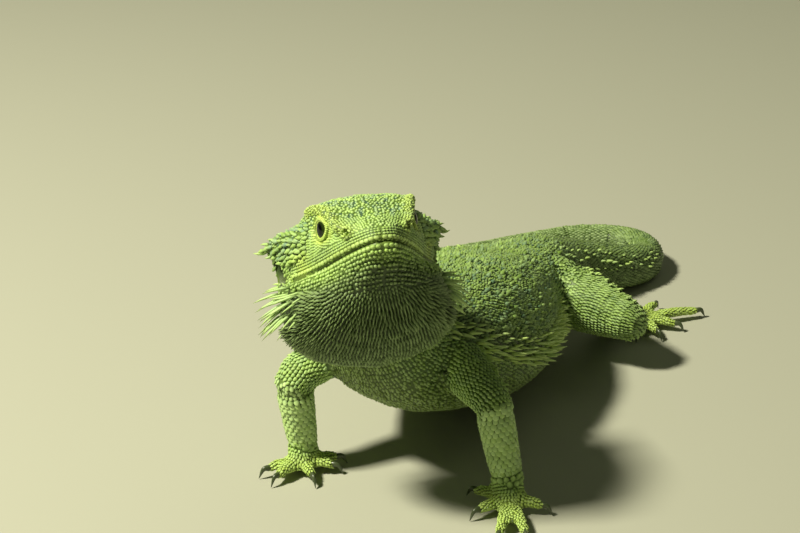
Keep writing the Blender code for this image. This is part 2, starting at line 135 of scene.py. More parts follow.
print("mid grey, hex 808080, is", round(hex_colour("808080")[0], 3), "in linear light")

# %% [markdown]
# ## The camera
# The animal is looked down on a little from its front left, through a long lens. A 90 mm
# lens on a 36 mm wide sensor keeps the head from looking too big against the body.

# %% Place the camera
CAMERA_PLACE = (0.25865, -0.60186, 0.3307)  # metres
CAMERA_TILT, CAMERA_TURN = math.radians(66.0), math.radians(25.0)
camera_data = bpy.data.cameras.new("camera")
camera_data.lens = 90.0          # mm
camera_data.sensor_width = 36.0  # mm
camera_data.clip_start = 0.02    # metres
camera = stand("camera", camera_data)
camera.location = CAMERA_PLACE
camera.rotation_euler = (CAMERA_TILT, 0.0, CAMERA_TURN)
bpy.context.scene.camera = camera
print("camera at", CAMERA_PLACE)

# %% [markdown]
# ## Floor and light
# The floor is a plain pale sheet of matt paper, which takes a soft shadow and has no shine. A
# lizard's skin is mostly relief, and relief shows under light that rakes across it. So one
# bright, fairly small panel stands high before the animal's right side, as a basking lamp
# would, and two wide dim panels and a pale sky keep the shaded side readable.

# %% Make the floor
HALF_FLOOR = 3.0  # metres
floor_mesh = bpy.data.meshes.new("floor")
floor_corners = [(x * HALF_FLOOR, y * HALF_FLOOR, 0) for x, y in ((-1, -1), (1, -1), (1, 1), (-1, 1))]
floor_mesh.from_pydata(floor_corners, [], [(0, 1, 2, 3)])
floor_paper, _ = new_material("floor_paper", Base_Color=hex_colour("B3B4A3"), Roughness=0.9)
floor_mesh.materials.append(floor_paper)
floor = stand("floor", floor_mesh)
print("floor, metres across:", 2 * HALF_FLOOR)


# %% Make the lights
SHOULDERS, LOINS = (0.0, -0.02, 0.05), (0.0, 0.05, 0.03)  # metres, what the panels face


def add_panel(name, place, target, size, watts, colour):
    """A square softbox that faces its target. Its place and size are in metres."""
    data = bpy.data.lights.new(name, "AREA")
    data.size = size
    data.energy = watts
    data.color = hex_colour(colour)[:3]
    panel = stand(name, data)
    panel.location = place
    panel.rotation_euler = (Vector(target) - Vector(place)).to_track_quat("-Z", "Y").to_euler()
    print(name, watts, "W")


add_panel("basking_key", (-0.52, -0.58, 1.06), SHOULDERS, 0.16, 26.5, "FFFAE2")
add_panel("front_fill", (0.75, -0.9, 0.55), SHOULDERS, 0.8, 0.14, "F0FAC8")
add_panel("back_fill", (0.3, 1.0, 0.7), LOINS, 0.8, 0.9, "F2FCD0")
sky = bpy.data.worlds.new("sky")
sky.use_nodes = True
sky_glow = sky.node_tree.nodes["Background"]
sky_glow.inputs["Color"].default_value = hex_colour("E4EAC4")
sky_glow.inputs["Strength"].default_value = 0.068
bpy.context.scene.world = sky
bpy.context.scene.view_settings.view_transform = "Standard"

# %% [markdown]
# ## Finding the way about the animal
# Every scale has to know where it is: how far behind the snout, how far round the trunk, how
# far down a leg. The head has its own frame, because it is turned and lifted. In it a place
# is (behind the snout, to the left, upwards). The trunk and tail are measured along the
# spine, and each limb along its bones.

# %% The head's own frame
head_turn, head_lift, head_roll = (math.radians(a) for a in (38.8, 30.4, 1.2))
FORWARD = np.array([math.sin(head_turn) * math.cos(head_lift),
                    -math.cos(head_turn) * math.cos(head_lift), math.sin(head_lift)])
level_left = np.array([math.cos(head_turn), math.sin(head_turn), 0.0])
LEFT = math.cos(head_roll) * level_left + math.sin(head_roll) * np.cross(FORWARD, level_left)
UP = np.cross(FORWARD, LEFT)
HEAD_AXES = np.array([-FORWARD, LEFT, UP])

SIDES = ("left", "right")
EYE_BEHIND, EYE_OUT, EYE_UP, EYE_RADIUS = 20.0, 11.2, 7.5, 4.3  # mm


def middle_of(name):
    """Middle of a solid's box, in mm."""
    low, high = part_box(name)
    return 0.5 * (np.array(low) + np.array(high)) / MM


eye_centres = {side: middle_of("eye_" + side) for side in SIDES}
SNOUT = 0.5 * (eye_centres["left"] + eye_centres["right"]) + EYE_BEHIND * FORWARD - EYE_UP * UP
print("tip of the snout, mm:", np.round(SNOUT, 1))


def on_head(behind, side, height):
    """Millimetre place from the head's own frame."""
    return SNOUT + behind * -FORWARD + side * LEFT + height * UP


def to_head(points):
    """(behind, left, up) of millimetre points in the head's own frame."""
    return (points - SNOUT) @ HEAD_AXES.T


def folded(h):
    """Head-frame places with the right half of the head folded over onto the left."""
    return np.column_stack([h[:, 0], np.abs(h[:, 1]), h[:, 2]])


# %% The spine and the limbs
SPINE = np.array([
    (-8, -70.7, 73.2), (-7.5, -62.5, 61), (-3.5, -52, 45), (-1.5, -40, 39), (-0.5, -25, 33),
    (-0.5, -10, 28), (-1, 5, 26), (-1, 20, 25), (-0.5, 35, 24.5), (0, 50, 24), (0, 62, 22.8),
    (1, 73, 20.5), (5.5, 88, 16), (13.5, 102, 11.8), (21, 113, 8.8), (24.5, 125, 7),
    (19, 136, 6.5), (7, 140.5, 6.1), (-7, 137, 5.7), (-19, 128.5, 5.3), (-31, 116.5, 4.9),
    (-44, 104, 4.5), (-58, 93, 4.1), (-70.5, 80, 3.7), (-78, 64, 3.3), (-81, 46, 2.8),
    (-79, 29, 2.2), (-73, 13, 1.3)], dtype=float)
LIMBS = {
    "arm_left": [(15, -49, 42), (35.2, -60.9, 34), (41.4, -62.6, 9.5)],
    "arm_right": [(-17, -51, 43), (-29.6, -73.4, 34.5), (-27.9, -70.6, 9)],
    "leg_left": [(12, 51, 23.5), (45.5, 43, 19.5), (30, 68, 7)],
    "leg_right": [(-12, 51, 23.5), (-45, 39, 20), (-33, 61, 7)],
}
PADS = {"hand_left": (44.0, -66.5), "hand_right": (-27.5, -72.0), "foot_left": (38.0, 78.5),
        "foot_right": (-43.0, 57.0)}
TABLES_SNOUT = np.array([16.7, -101.5, 102.0])  # where the snout's tip is in these tables
shift = SNOUT - TABLES_SNOUT
SPINE = SPINE + shift
LIMBS = {name: np.array(joints, dtype=float) + shift for name, joints in LIMBS.items()}
PADS = {name: np.array([*pad, 6.0]) + shift for name, pad in PADS.items()}
print("the tables move by, mm:", np.round(shift, 2))


def curve_point(table, at):
    """Smooth point at a fractional station of a table of points."""
    last = len(table) - 1
    i = min(max(int(math.floor(at)), 0), last - 1)
    u = at - i
    before = table[i - 1] if i > 0 else 2 * table[0] - table[1]
    after = table[i + 2] if i + 2 <= last else 2 * table[last] - table[last - 1]
    a, b = table[i], table[i + 1]
    return 0.5 * (2 * a + (b - before) * u + (2 * before - 5 * a + 4 * b - after) * u ** 2
                  + (3 * a - before - 3 * b + after) * u ** 3)


def unit(vectors):
    """Vectors of the same directions, one unit long."""
    return vectors / np.maximum(np.linalg.norm(vectors, axis=-1, keepdims=True), 1e-9)


# %% [markdown]
# ## One skin
# The flesh solids touch each other with hair-thin gaps. A real skin has no seams, so each
# solid is swollen by half a millimetre to close the gaps, all are laid into one mesh, and a
# voxel remesh shrink-wraps them: it lays a grid of small cubes over the whole and draws one
# closed surface round the filled ones. Smoothing takes the steps out, and the head is
# divided finer than the rest because it carries the face.

# %% Names of the flesh
HEAD_PARTS = ("head", "lower_jaw", "beard")
TRUNK_PARTS = ("neck", "chest", "belly", "hips")
LIMB_PARTS = ("upper_arm", "forearm", "hand", "thigh", "shank", "foot")
FLESH = [*HEAD_PARTS, *TRUNK_PARTS, *("tail_%d" % k for k in range(1, 7))]
FLESH += [part + "_" + side for side in SIDES for part in LIMB_PARTS]
SWELL = 0.5        # mm, closes the cuts between the solids
SKIN_GRAIN = 1.08  # mm, the remesh's cube
WELD = 0.02        # mm, corners nearer than this are one
print("flesh solids:", len(FLESH))

# %% Widths of the bare skin
# The solids reach out to the tips of the spines. The skin under the spines is narrower:
# half widths of the bare beard, cheek and flank, in mm. Those of the head go by the distance
# behind the snout, and those of the flank by the station on the spine.
BEARD_AT = (4.0, 9.0, 15.0, 21.0, 27.0, 33.0, 38.0, 43.0, 47.7)
BARE_BEARD = (4.6, 9.6, 15.2, 20.0, 23.6, 26.0, 26.8, 26.4, 23.0)
BARE_CHEEK_AT = (0.0, 24.0, 30.0, 36.0, 42.0, 48.0)
BARE_CHEEK = (30.0, 17.6, 20.6, 24.0, 26.4, 23.4)
BARE_FLANK_AT = (0, 2, 3, 4, 5, 6, 7, 8, 9, 10, 11)
BARE_FLANK = (20.0, 24.0, 27.5, 30.8, 32.6, 32.2, 28.6, 23.2, 19.0, 17.0, 15.0)
BODY_END = 11  # the station where the trunk gives way to the tail
ROOT_RADIUS = {"arm": 8.2, "leg": 10.6}  # mm, balls that join each limb to the trunk
# Two swellings on each side of the head: (behind, out, up, radius) along each, in mm.
PRONG = ((34, 17.5, 7.2, 4.4), (38, 21.5, 7.0, 3.7), (41, 25.2, 6.6, 2.7), (43.2, 28.8, 6.1, 1.5))
JOWL = ((12, 8, -7, 4), (20, 12.5, -8.5, 5), (28, 17, -9.5, 5.8), (36, 19, -10, 6.6), (43, 18, -10, 6))


# %% Bare the skin under the spines
def drawn_in(values, widths):
    """Values whose distance from 0 is brought down to the widths where it is more."""
    return np.sign(values) * np.minimum(np.abs(values), widths)


def without_spines(name, points):
    """Millimetre points of a solid, drawn in to where the skin under its spines lies."""
    if name in ("beard", "head"):
        h = to_head(points)
        table = (BEARD_AT, BARE_BEARD) if name == "beard" else (BARE_CHEEK_AT, BARE_CHEEK)
        h[:, 1] = drawn_in(h[:, 1], np.interp(h[:, 0], *table))
        return SNOUT + h @ HEAD_AXES
    if name in ("chest", "belly", "hips"):
        stations = np.arange(3 * BODY_END + 1) / 3
        line = np.array([curve_point(SPINE, t) for t in stations])
        nearest = np.abs(points[:, None, 1] - line[None, :, 1]).argmin(axis=1)
        middle = line[nearest, 0]
        widths = np.interp(stations[nearest], BARE_FLANK_AT, BARE_FLANK)
        points[:, 0] = middle + drawn_in(points[:, 0] - middle, widths)
    return points


# %% Balls that fill in
def add_ball(shell, centre, radius):
    """Add a faceted ball to a bmesh. Its centre and radius are in mm."""
    ball = bmesh.ops.create_icosphere(shell, subdivisions=2, radius=radius * MM)
    bmesh.ops.translate(shell, verts=ball["verts"], vec=centre * MM)


def add_tube(shell, rows):
    """Add a row of balls on both sides of the head, through head-frame places with radii."""
    table = np.array(rows, dtype=float)
    for t in np.linspace(0, len(table) - 1, 4 * len(table)):
        behind, side, height, radius = curve_point(table, t)
        for sign in (1, -1):
            add_ball(shell, on_head(behind, sign * side, height), radius)


# %% Join the flesh
def swollen_solid(name):
    """A mesh of one flesh solid, bared of its spines and swollen along its normals."""
    part = bmesh.new()
    part.from_mesh(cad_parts[name].data)
    bmesh.ops.remove_doubles(part, verts=part.verts, dist=WELD * MM)
    bare = without_spines(name, np.array([v.co for v in part.verts]) / MM)
    for vertex, place in zip(part.verts, bare):
        vertex.co = place * MM
    bmesh.ops.recalc_face_normals(part, faces=part.faces)
    part.normal_update()
    normals = [v.normal.copy() for v in part.verts]
    for vertex, normal in zip(part.verts, normals):
        vertex.co += normal * SWELL * MM
    mesh = bpy.data.meshes.new("swollen")
    part.to_mesh(mesh)
    part.free()
    return mesh


def joined_flesh():
    """All the flesh in one mesh, with the swellings of the head and the roots of the limbs."""
    whole = bmesh.new()
    for name in FLESH:
        solid = swollen_solid(name)
        whole.from_mesh(solid)
        bpy.data.meshes.remove(solid)
    add_tube(whole, JOWL)
    add_tube(whole, PRONG)
    for name, joints in LIMBS.items():
        for share in np.linspace(0.0, 0.45, 5):
            add_ball(whole, joints[0] + share * (joints[1] - joints[0]), ROOT_RADIUS[name[:3]])
    mesh = bpy.data.meshes.new("skin")
    whole.to_mesh(mesh)
    whole.free()
    return mesh


# %% Wrap and smooth
def as_arrays(mesh):
    """Vertices in millimetres, edges and vertex normals of a mesh."""
    points = np.empty(3 * len(mesh.vertices))
    mesh.vertices.foreach_get("co", points)
    edges = np.empty(2 * len(mesh.edges), dtype=np.int64)
    mesh.edges.foreach_get("vertices", edges)
    normals = np.empty(3 * len(mesh.vertices))
    mesh.vertices.foreach_get("normal", normals)
    return points.reshape(-1, 3) / MM, edges.reshape(-1, 2), normals.reshape(-1, 3)


def set_points(mesh, points):
    """Move a mesh's vertices to these places, given in mm."""
    mesh.vertices.foreach_set("co", (points * MM).ravel())
    mesh.update()


def relax(mesh, rounds, hold=None):
    """Taubin smoothing: one step in, one step a little further out, so nothing shrinks."""
    points, edges, _ = as_arrays(mesh)
    ends = np.bincount(edges.ravel(), minlength=len(points))[:, None]
    free = 1.0 if hold is None else (1.0 - hold)[:, None]
    for step in [0.5, -0.53] * rounds:
        total = np.zeros_like(points)
        for axis in range(3):
            total[:, axis] += np.bincount(edges[:, 0], points[edges[:, 1], axis], len(points))
            total[:, axis] += np.bincount(edges[:, 1], points[edges[:, 0], axis], len(points))
        points = points + step * free * (total / ends - points)
    set_points(mesh, points)


def paw_share(points):
    """1 on the hands and feet, whose thin digits smoothing would wear away, 0 elsewhere."""
    reach = [np.hypot(*(points[:, :2] - pad[:2]).T) for pad in PADS.values()]
    return ((np.min(reach, axis=0) < 26.0) & (points[:, 2] < 7.5)).astype(float)


skin = stand("skin", joined_flesh())
wrap = skin.modifiers.new("wrap", "REMESH")
wrap.mode = "VOXEL"
wrap.voxel_size = SKIN_GRAIN * MM
bpy.context.view_layer.update()
skin_mesh = bpy.data.meshes.new_from_object(skin.evaluated_get(bpy.context.evaluated_depsgraph_get()))
skin.modifiers.clear()
skin.data = skin_mesh
relax(skin_mesh, 22, hold=0.93 * paw_share(as_arrays(skin_mesh)[0]))
print("skin faces after the wrap:", len(skin_mesh.polygons))


# %% Divide the head finer
def divide_where(mesh, chosen):
    """Divide in four the faces whose corners are all chosen, by a rule on their place."""
    shell = bmesh.new()
    shell.from_mesh(mesh)
    places = np.array([v.co for v in shell.verts]) / MM
    near = chosen(places)
    edges = [e for e in shell.edges if near[e.verts[0].index] and near[e.verts[1].index]]
    bmesh.ops.subdivide_edges(shell, edges=edges, cuts=1, use_grid_fill=True)
    shell.to_mesh(mesh)
    shell.free()


def on_face(points):
    """True for places on the face, back to the ears."""
    behind, side, height = to_head(points).T
    return (behind < 47) & (behind > -5) & (height > -14)


def near_eye(points):
    """True for places within 8 mm of the middle of an eye."""
    gaps = [np.linalg.norm(points - centre, axis=1) for centre in eye_centres.values()]
    return np.minimum(*gaps) < 8.0


divide_where(skin_mesh, on_face)
divide_where(skin_mesh, near_eye)
relax(skin_mesh, 2)
print("skin faces with the face divided:", len(skin_mesh.polygons))

# %% [markdown]
# ## Modelling the face into the skin
# A sculptor would press and pull clay here. In code each press is a smooth bump: every skin
# point moves along its own normal by a height that fades with its distance from a line or a
# spot. The brow and the ridge before it are raised, the mouth is a groove between two lips,
# the nostril is a pit in a raised ring, and the ear is a sunken drum behind the jaw's corner.
# At the same time the skin sinks by the thickness of the scales that will lie on it.

# %% Where each solid's skin lies
def solid_finder():
    """A search tree over all flesh solids and the name that each of its faces belongs to."""
    points, faces, owners = [], [], []
    for name in FLESH:
        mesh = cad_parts[name].data
        first = len(points)
        points += [tuple(v.co / MM) for v in mesh.vertices]
        faces += [tuple(first + i for i in p.vertices) for p in mesh.polygons]
        owners += [name] * len(mesh.polygons)
    return BVHTree.FromPolygons(points, faces), owners


solid_tree, face_owner = solid_finder()


def owners_of(points):
    """Name of the solid that lies nearest to each point."""
    return np.array([face_owner[solid_tree.find_nearest(Vector(p))[2]] for p in points])


def kind_of(owner):
    """A solid's name without its side or number, which is how the tables below call it."""
    return owner if owner in HEAD_PARTS else owner.split("_")[0]


def is_kind(owners, *kinds):
    """True for each owner that is of one of these kinds."""
    return np.isin([kind_of(owner) for owner in owners], kinds)


PAWS = ("hand", "foot")
LIMB_KINDS = ("upper", "forearm", "thigh", "shank")
COAT_DEPTH = {"head": 0.4, "lower_jaw": 0.4, "beard": 0.8, "neck": 0.8, "chest": 0.8, "belly": 0.8,
              "hips": 0.8, "tail": 0.5, "upper": 0.7, "forearm": 0.6, "thigh": 0.7, "shank": 0.6,
              "hand": 0.25, "foot": 0.25}  # mm, from the solids down to the skin
skin_points, _, skin_normals = as_arrays(skin_mesh)
skin_owner = owners_of(skin_points)
coat_depth = np.array([COAT_DEPTH[kind_of(owner)] for owner in skin_owner])
is_head = np.isin(skin_owner, HEAD_PARTS)
print("skin points on the head:", int(is_head.sum()))


# %% Tools for pressing and pulling
def fade(distance, width):
    """1 at no distance, falling away smoothly."""
    return np.exp(-(distance / width) ** 2)


def ramp(values, low, high):
    """0 below low, 1 above high, smooth between."""
    t = np.clip((values - low) / (high - low), 0.0, 1.0)
    return t * t * (3 - 2 * t)


def line_distance(points, line):
    """Distance from each point to a line through the places given."""
    line = np.array(line, dtype=float)
    best = np.full(len(points), 1e9)
    for a, b in zip(line[:-1], line[1:]):
        along = np.clip((points - a) @ (b - a) / ((b - a) @ (b - a)), 0, 1)
        best = np.minimum(best, np.linalg.norm(points - a - along[:, None] * (b - a), axis=1))
    return best


# %% Lines and spots of the face
# Places are (behind the snout, out to the side, up), in mm.
MOUTH_AT = (-1.0, 0.5, 3.0, 7.0, 12.0, 18.0, 24.0, 30.0, 36.0, 48.0)
MOUTH_UP = (0.2, 0.0, -0.4, -1.2, -2.3, -3.4, -4.2, -4.7, -5.0, -5.0)
MOUTH_END = 35.5
BROW = ((27, 16.2, 14.2), (23, 15.4, 14.9), (19, 13.5, 13.2), (16.5, 12.5, 11.6), (14, 11.6, 9.5),
        (12, 11.0, 7.7), (10.4, 10.4, 6.2))
CHEEK_HOLLOW = ((17.5, 12.0, 5.0), (13.5, 11.6, 4.4), (10.8, 10.6, 3.4))
TEMPLE = ((27, 17.5, 8.5), (33, 21.5, 6.8), (40, 25.0, 5.2))
NOSTRIL = (7.3, 9.5, 4.6)
EAR_BEHIND, EAR_UP, EAR_HALF_LENGTH, EAR_HALF_HEIGHT = 41.0, -2.2, 2.7, 5.0
EAR_RIM = ((44.6, 24.6, 3.0), (45.2, 25.2, -1.5), (44.8, 25.2, -7.0))


def gap_to(points, spot):
    """Distance from each point to one spot."""
    return np.linalg.norm(points - np.array(spot), axis=1)


def ear_reach(behind, side, height):
    """Distance from the middle of the ear, 1 at its rim."""
    reach = np.hypot((behind - EAR_BEHIND - 0.12 * (height - EAR_UP)) / EAR_HALF_LENGTH,
                     (height - EAR_UP) / EAR_HALF_HEIGHT)
    return np.where(np.abs(side) > 15, reach, 9.0)


def above_mouth(points):
    """Height above the mouth line, in the head's frame."""
    return points[:, 2] - np.interp(points[:, 0], MOUTH_AT, MOUTH_UP)


# %% Press and pull the face
def ridge(points, line, height, width):
    """A rounded ridge along a line, or a furrow where its height is less than 0, in mm."""
    return height * fade(line_distance(points, line), width)


def face_relief(h):
    """How far each head-frame point moves outwards along its normal, in mm."""
    behind, side, height = h.T
    half = folded(h)
    relief = ridge(half, BROW, height=1.5 + 0.8 * (1 - ramp(behind, 15.0, 20.0)), width=1.6)
    relief += ridge(half, CHEEK_HOLLOW, height=-0.9, width=1.9)
    relief += ridge(half, TEMPLE, height=0.5, width=2.2)
    relief += ridge(half, EAR_RIM, height=1.7, width=1.9)
    # The crown's dome
    relief += 1.2 * ramp(behind, 8.0, 22.0) * (1 - ramp(half[:, 1], 8.0, 15.0)) * ramp(height, 6.0, 12.0)
    # Upper lip, lower lip and the groove between them
    mouth = above_mouth(h)
    lips = 0.38 * fade(mouth - 1.15, 0.75) + 0.34 * fade(mouth + 1.2, 0.75) - 0.95 * fade(mouth, 0.42)
    relief += lips * ramp(-behind, -MOUTH_END - 1.5, -MOUTH_END + 1.5)
    # The nostril's ring and its hole
    hole = gap_to(half, NOSTRIL)
    relief += 1.1 * fade(hole - 1.5, 0.7) - 2.0 * fade(hole, 0.85)
    # The ear's edge and its drum
    ear = ear_reach(behind, side, height)
    relief += 0.35 * fade(ear - 1.22, 0.2) - 3.4 * (1 - ramp(ear, 0.6, 1.05))
    return relief * ramp(-behind, -46.0, -42.0)


def sink_orbits(points):
    """Push the skin round each eyeball inwards, so that ball and lids can sit in it."""
    for centre in eye_centres.values():
        away = points - centre
        reach = np.linalg.norm(away, axis=1)
        outward = away / reach[:, None]
        side = 1 if (centre - SNOUT) @ LEFT > 0 else -1
        faces_out = ramp(outward @ (side * LEFT), -0.1, 0.25)
        sunk = (1 - ramp(reach, 5.1, 6.2)) * faces_out
        points = points + (sunk * (3.4 - reach))[:, None] * outward
    return points


# %% Creases of the limbs
def crease(points, joint, towards, past, depth, width, near):
    """Depth of a fold round a limb, so far past a joint, fading with distance from the bone."""
    way = unit(towards - joint)
    along = (points - joint) @ way
    radius = np.linalg.norm(points - joint - along[:, None] * way, axis=1)
    return depth * fade(along - past, width) * (1 - ramp(radius, *near))


def limb_creases(points):
    """Depth of the folds where each thigh leaves the trunk and below each elbow."""
    depth = np.zeros(len(points))
    for side in SIDES:
        hip, knee, _ = LIMBS["leg_" + side]
        at_hip = crease(points, hip, knee, past=7.0, depth=1.1, width=1.2, near=(12, 15))
        depth += at_hip * (points[:, 2] > 8)
    for side in SIDES:
        _, elbow, wrist = LIMBS["arm_" + side]
        depth += crease(points, elbow, wrist, past=3.6, depth=0.25, width=1.4, near=(9, 11))
    return depth


relief = np.where(is_head, face_relief(to_head(skin_points)), -limb_creases(skin_points))
move = relief - SWELL - coat_depth
shaped = sink_orbits(skin_points + move[:, None] * skin_normals)
set_points(skin_mesh, shaped)
skin_mesh.shade_smooth()
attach(skin, "root")
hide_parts(*FLESH)
print("skin box, mm:", np.round(shaped.min(axis=0), 1), np.round(shaped.max(axis=0), 1))

# %% [markdown]
# ## Eyes and lids
# A bearded dragon's eye is a dark, wet ball in a fleshy turret. Only an upright almond of it
# shows. The ball is a sphere whose surface is coloured by the angle from where it looks: a
# black pupil, a bronze ring and a dark rest. Each lid is a band of skin wrapped over the ball
# from the almond's edge outwards, smooth and heavy above, folded twice below.

# %% Where the eyes look
GAZE_FORWARD, GAZE_UP = math.radians(15.0), math.radians(2.0)


def eye_axes(side):
    """Gaze, forward and up directions at an eye, each at right angles to the others."""
    sign = 1 if side == "left" else -1
    gaze = unit(sign * math.cos(GAZE_FORWARD) * LEFT + math.sin(GAZE_FORWARD) * FORWARD
                + math.sin(GAZE_UP) * UP)
    ahead = unit(FORWARD - (FORWARD @ gaze) * gaze)
    return gaze, ahead, unit(UP - (UP @ gaze) * gaze - (UP @ ahead) * ahead)


def new_piece(name, points, faces, material):
    """A smooth mesh object, from millimetre points, that rides with the animal."""
    mesh = bpy.data.meshes.new(name)
    mesh.from_pydata((np.asarray(points) * MM).tolist(), [], faces)
    mesh.materials.append(material)
    mesh.shade_smooth()
    mesh.update()
    piece = stand(name, mesh)
    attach(piece, "root")
    return piece


def grid_faces(rows, columns, first=0):
    """Quads of a grid that closes on itself round its columns."""
    faces = []
    for r in range(rows - 1):
        for c in range(columns):
            a, b = first + r * columns + c, first + r * columns + (c + 1) % columns
            faces.append((a, b, b + columns, a + columns))
    return faces


# %% The wet eye
# Rings of the eye: (angle from the gaze in quarter turns, colour).
EYE_RINGS = ((0.0, "050604"), (0.30, "060704"), (0.34, "1E2A0E"), (0.50, "2E3C15"), (0.62, "141C0A"),
             (1.0, "0B1008"))
IRIS_THREAD = 0.00956  # mm, too fine to be seen one by one: they blur the rings' edges


def make_wet_eye():
    """Clear cornea over the iris: wet and smooth, so the lamp shows in it as one sharp spot."""
    made, shader = new_material("wet_eye", Roughness=0.12, IOR=1.376, Specular_IOR_Level=0.3,
                                Coat_Weight=0.15, Coat_Roughness=0.03)
    tree = made.node_tree
    angle = add_node(tree, "ShaderNodeAttribute", attribute_name="off_gaze")
    # With no places linked to it, a noise runs once across the mesh, here across the ball.
    threads = add_node(tree, "ShaderNodeTexNoise", Scale_in=2 * EYE_RADIUS / IRIS_THREAD, Detail_in=3.0)
    wobble = add_node(tree, "ShaderNodeMath", operation="MULTIPLY_ADD", numbered=[(1, 0.08)],
                      links=[(threads.outputs["Fac"], 0), (angle.outputs["Fac"], 2)])
    bands = add_node(tree, "ShaderNodeValToRGB", links=[(wobble.outputs[0], "Fac")])
    rings = bands.color_ramp.elements
    while len(rings) < len(EYE_RINGS):
        rings.new(0.5)
    for ring, (at, code) in zip(rings, EYE_RINGS):
        ring.position = at
        ring.color = hex_colour(code)
    tree.links.new(bands.outputs["Color"], shader.inputs["Base Color"])
    return made


wet_eye = make_wet_eye()
print(wet_eye.name, "rings:", len(EYE_RINGS))


# %% Make the eyeballs
def make_eyeball(side, rows=28, columns=40):
    """A ball of rings round its gaze, with the angle from the gaze stored on every point."""
    gaze, ahead, upward = eye_axes(side)
    points, angles = [eye_centres[side] + EYE_RADIUS * gaze], [0.0]
    for r in range(1, rows):
        tip = math.pi * r / rows
        for c in range(columns):
            turn = math.tau * c / columns
            way = math.cos(tip) * gaze + math.sin(tip) * (math.cos(turn) * ahead + math.sin(turn) * upward)
            points.append(eye_centres[side] + EYE_RADIUS * way)
            angles.append(2 * tip / math.pi)
    points.append(eye_centres[side] - EYE_RADIUS * gaze)
    angles.append(2.0)
    faces = grid_faces(rows - 1, columns, 1)
    faces += [(0, 1 + (c + 1) % columns, 1 + c) for c in range(columns)]
    last, ring = len(points) - 1, 1 + (rows - 2) * columns
    faces += [(last, ring + c, ring + (c + 1) % columns) for c in range(columns)]
    ball = new_piece("eyeball_" + side, points, faces, wet_eye)
    store(ball.data, "off_gaze", angles)
    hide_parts("eye_" + side)
    print(ball.name, "faces:", len(faces))


for eye_side in SIDES:
    make_eyeball(eye_side)

# %% [markdown]
# ## The hide
# Scales are keratin, the stuff of nails, grown over thin skin. Nothing polishes them, so they
# are dull and slightly waxy: light spreads wide on them and no highlight is sharp. The colour
# is mixed from five numbers kept on every point. Gold, olive and slate tell where on the
# animal the point is, relief tells how high it stands on its scale, and tint is how pale that
# scale happens to be. Relief also paints light and shade: the low gaps between scales get a
# painted shade and the keels a painted highlight.

# %% The hide's material
BLOTCH, SPECK = 6.67, 1.923  # mm, soft blotches of two greens, and slate specks over them
KERATIN_GRAIN = 0.0976       # mm on the whole skin, and finer in proportion on smaller pieces


# Each share is spread between two numbers while what it follows goes from low to high.
SPREADS = (  # share, what it follows, low, high, then the share at low and at high
    ("pale_leaf", "blotch", 0.35, 0.68, 0.0, 1.0),
    ("speckled", "speck", 0.5, 0.62, 0.0, 1.0),
    ("gilt", "gold", 0.0, 1.0, 0.0, 0.85),
    ("bleached", "tint", 0.0, 2.0, 0.0, 0.7),
    # painted shade: the lower a point stands on its scale, the more of the dark gap colour it gets
    ("gap", "relief", 0.0, 0.5, 1.0, 0.0),
    # painted highlight: points high on a keel get the pale keel colour, less so on olive hide
    ("keel", "relief", 0.6, 1.0, 0.0, 0.45),
    ("not_olive", "olive", 0.0, 1.0, 1.0, 0.4),
    ("rough", "grain", 0.3, 0.7, 0.42, 0.6))
PRODUCTS = (("slate_specks", "slate", "speckled"), ("keel_highlight", "keel", "not_olive"))
LAYERS = (  # the share of each colour that is laid over the last
    ("slate_specks", "5D8470"), ("olive", "3E561D"), ("gilt", "C8DC4A"), ("bleached", "CBE8A2"),
    # the dark gap colour is painted shade, the pale keel colour a painted highlight
    ("gap", "22330E"), ("keel_highlight", "D6EE98"))


def make_scale_keratin():
    """Keratin over skin: dull and slightly waxy, with painted shade in the gaps and a painted highlight on
    the keels.
    """
    made, shader = new_material("scale_keratin", IOR=1.5)
    tree = made.node_tree
    number = {key: add_node(tree, "ShaderNodeAttribute", attribute_name=key).outputs["Fac"]
              for key in ("gold", "olive", "slate", "relief", "tint")}
    root = add_node(tree, "ShaderNodeAttribute", attribute_name="root").outputs["Vector"]
    blotch = add_node(tree, "ShaderNodeTexNoise", Scale_in=noise_scale(BLOTCH), Detail_in=2.0,
                      Roughness_in=0.6, links=[(root, "Vector")])
    speck = add_node(tree, "ShaderNodeTexNoise", Scale_in=noise_scale(SPECK), Detail_in=1.0,
                     links=[(root, "Vector")])
    skin_length = (cad_box[1][1] - cad_box[0][1]) / MM
    grain = add_node(tree, "ShaderNodeTexNoise", Scale_in=skin_length / KERATIN_GRAIN, Detail_in=3.0)
    for key, noise in (("blotch", blotch), ("speck", speck), ("grain", grain)):
        number[key] = noise.outputs["Fac"]
    for key, source, low, high, at_low, at_high in SPREADS:
        spread = add_node(tree, "ShaderNodeMapRange", From_Min_in=low, From_Max_in=high, To_Min_in=at_low,
                          To_Max_in=at_high, links=[(number[source], "Value")])
        number[key] = spread.outputs["Result"]
    for key, first, second in PRODUCTS:
        number[key] = add_node(tree, "ShaderNodeMath", operation="MULTIPLY",
                               links=[(number[first], 0), (number[second], 1)]).outputs[0]
    colour = add_node(tree, "ShaderNodeMix", data_type="RGBA", links=[(number["pale_leaf"], 0)],
                      numbered=[(6, hex_colour("789C3D")), (7, hex_colour("A6CB5C"))])
    for share, code in LAYERS:
        colour = add_node(tree, "ShaderNodeMix", data_type="RGBA", numbered=[(7, hex_colour(code))],
                          links=[(number[share], 0), (colour.outputs[2], 6)])
    tree.links.new(colour.outputs[2], shader.inputs["Base Color"])
    tree.links.new(number["rough"], shader.inputs["Roughness"])
    bump = add_node(tree, "ShaderNodeBump", Strength_in=0.25, Distance_in=0.1 * MM,
                    links=[(grain.outputs["Fac"], "Height")])
    tree.links.new(bump.outputs["Normal"], shader.inputs["Normal"])
    return made


scale_keratin = make_scale_keratin()
print(scale_keratin.name, "nodes:", len(scale_keratin.node_tree.nodes))

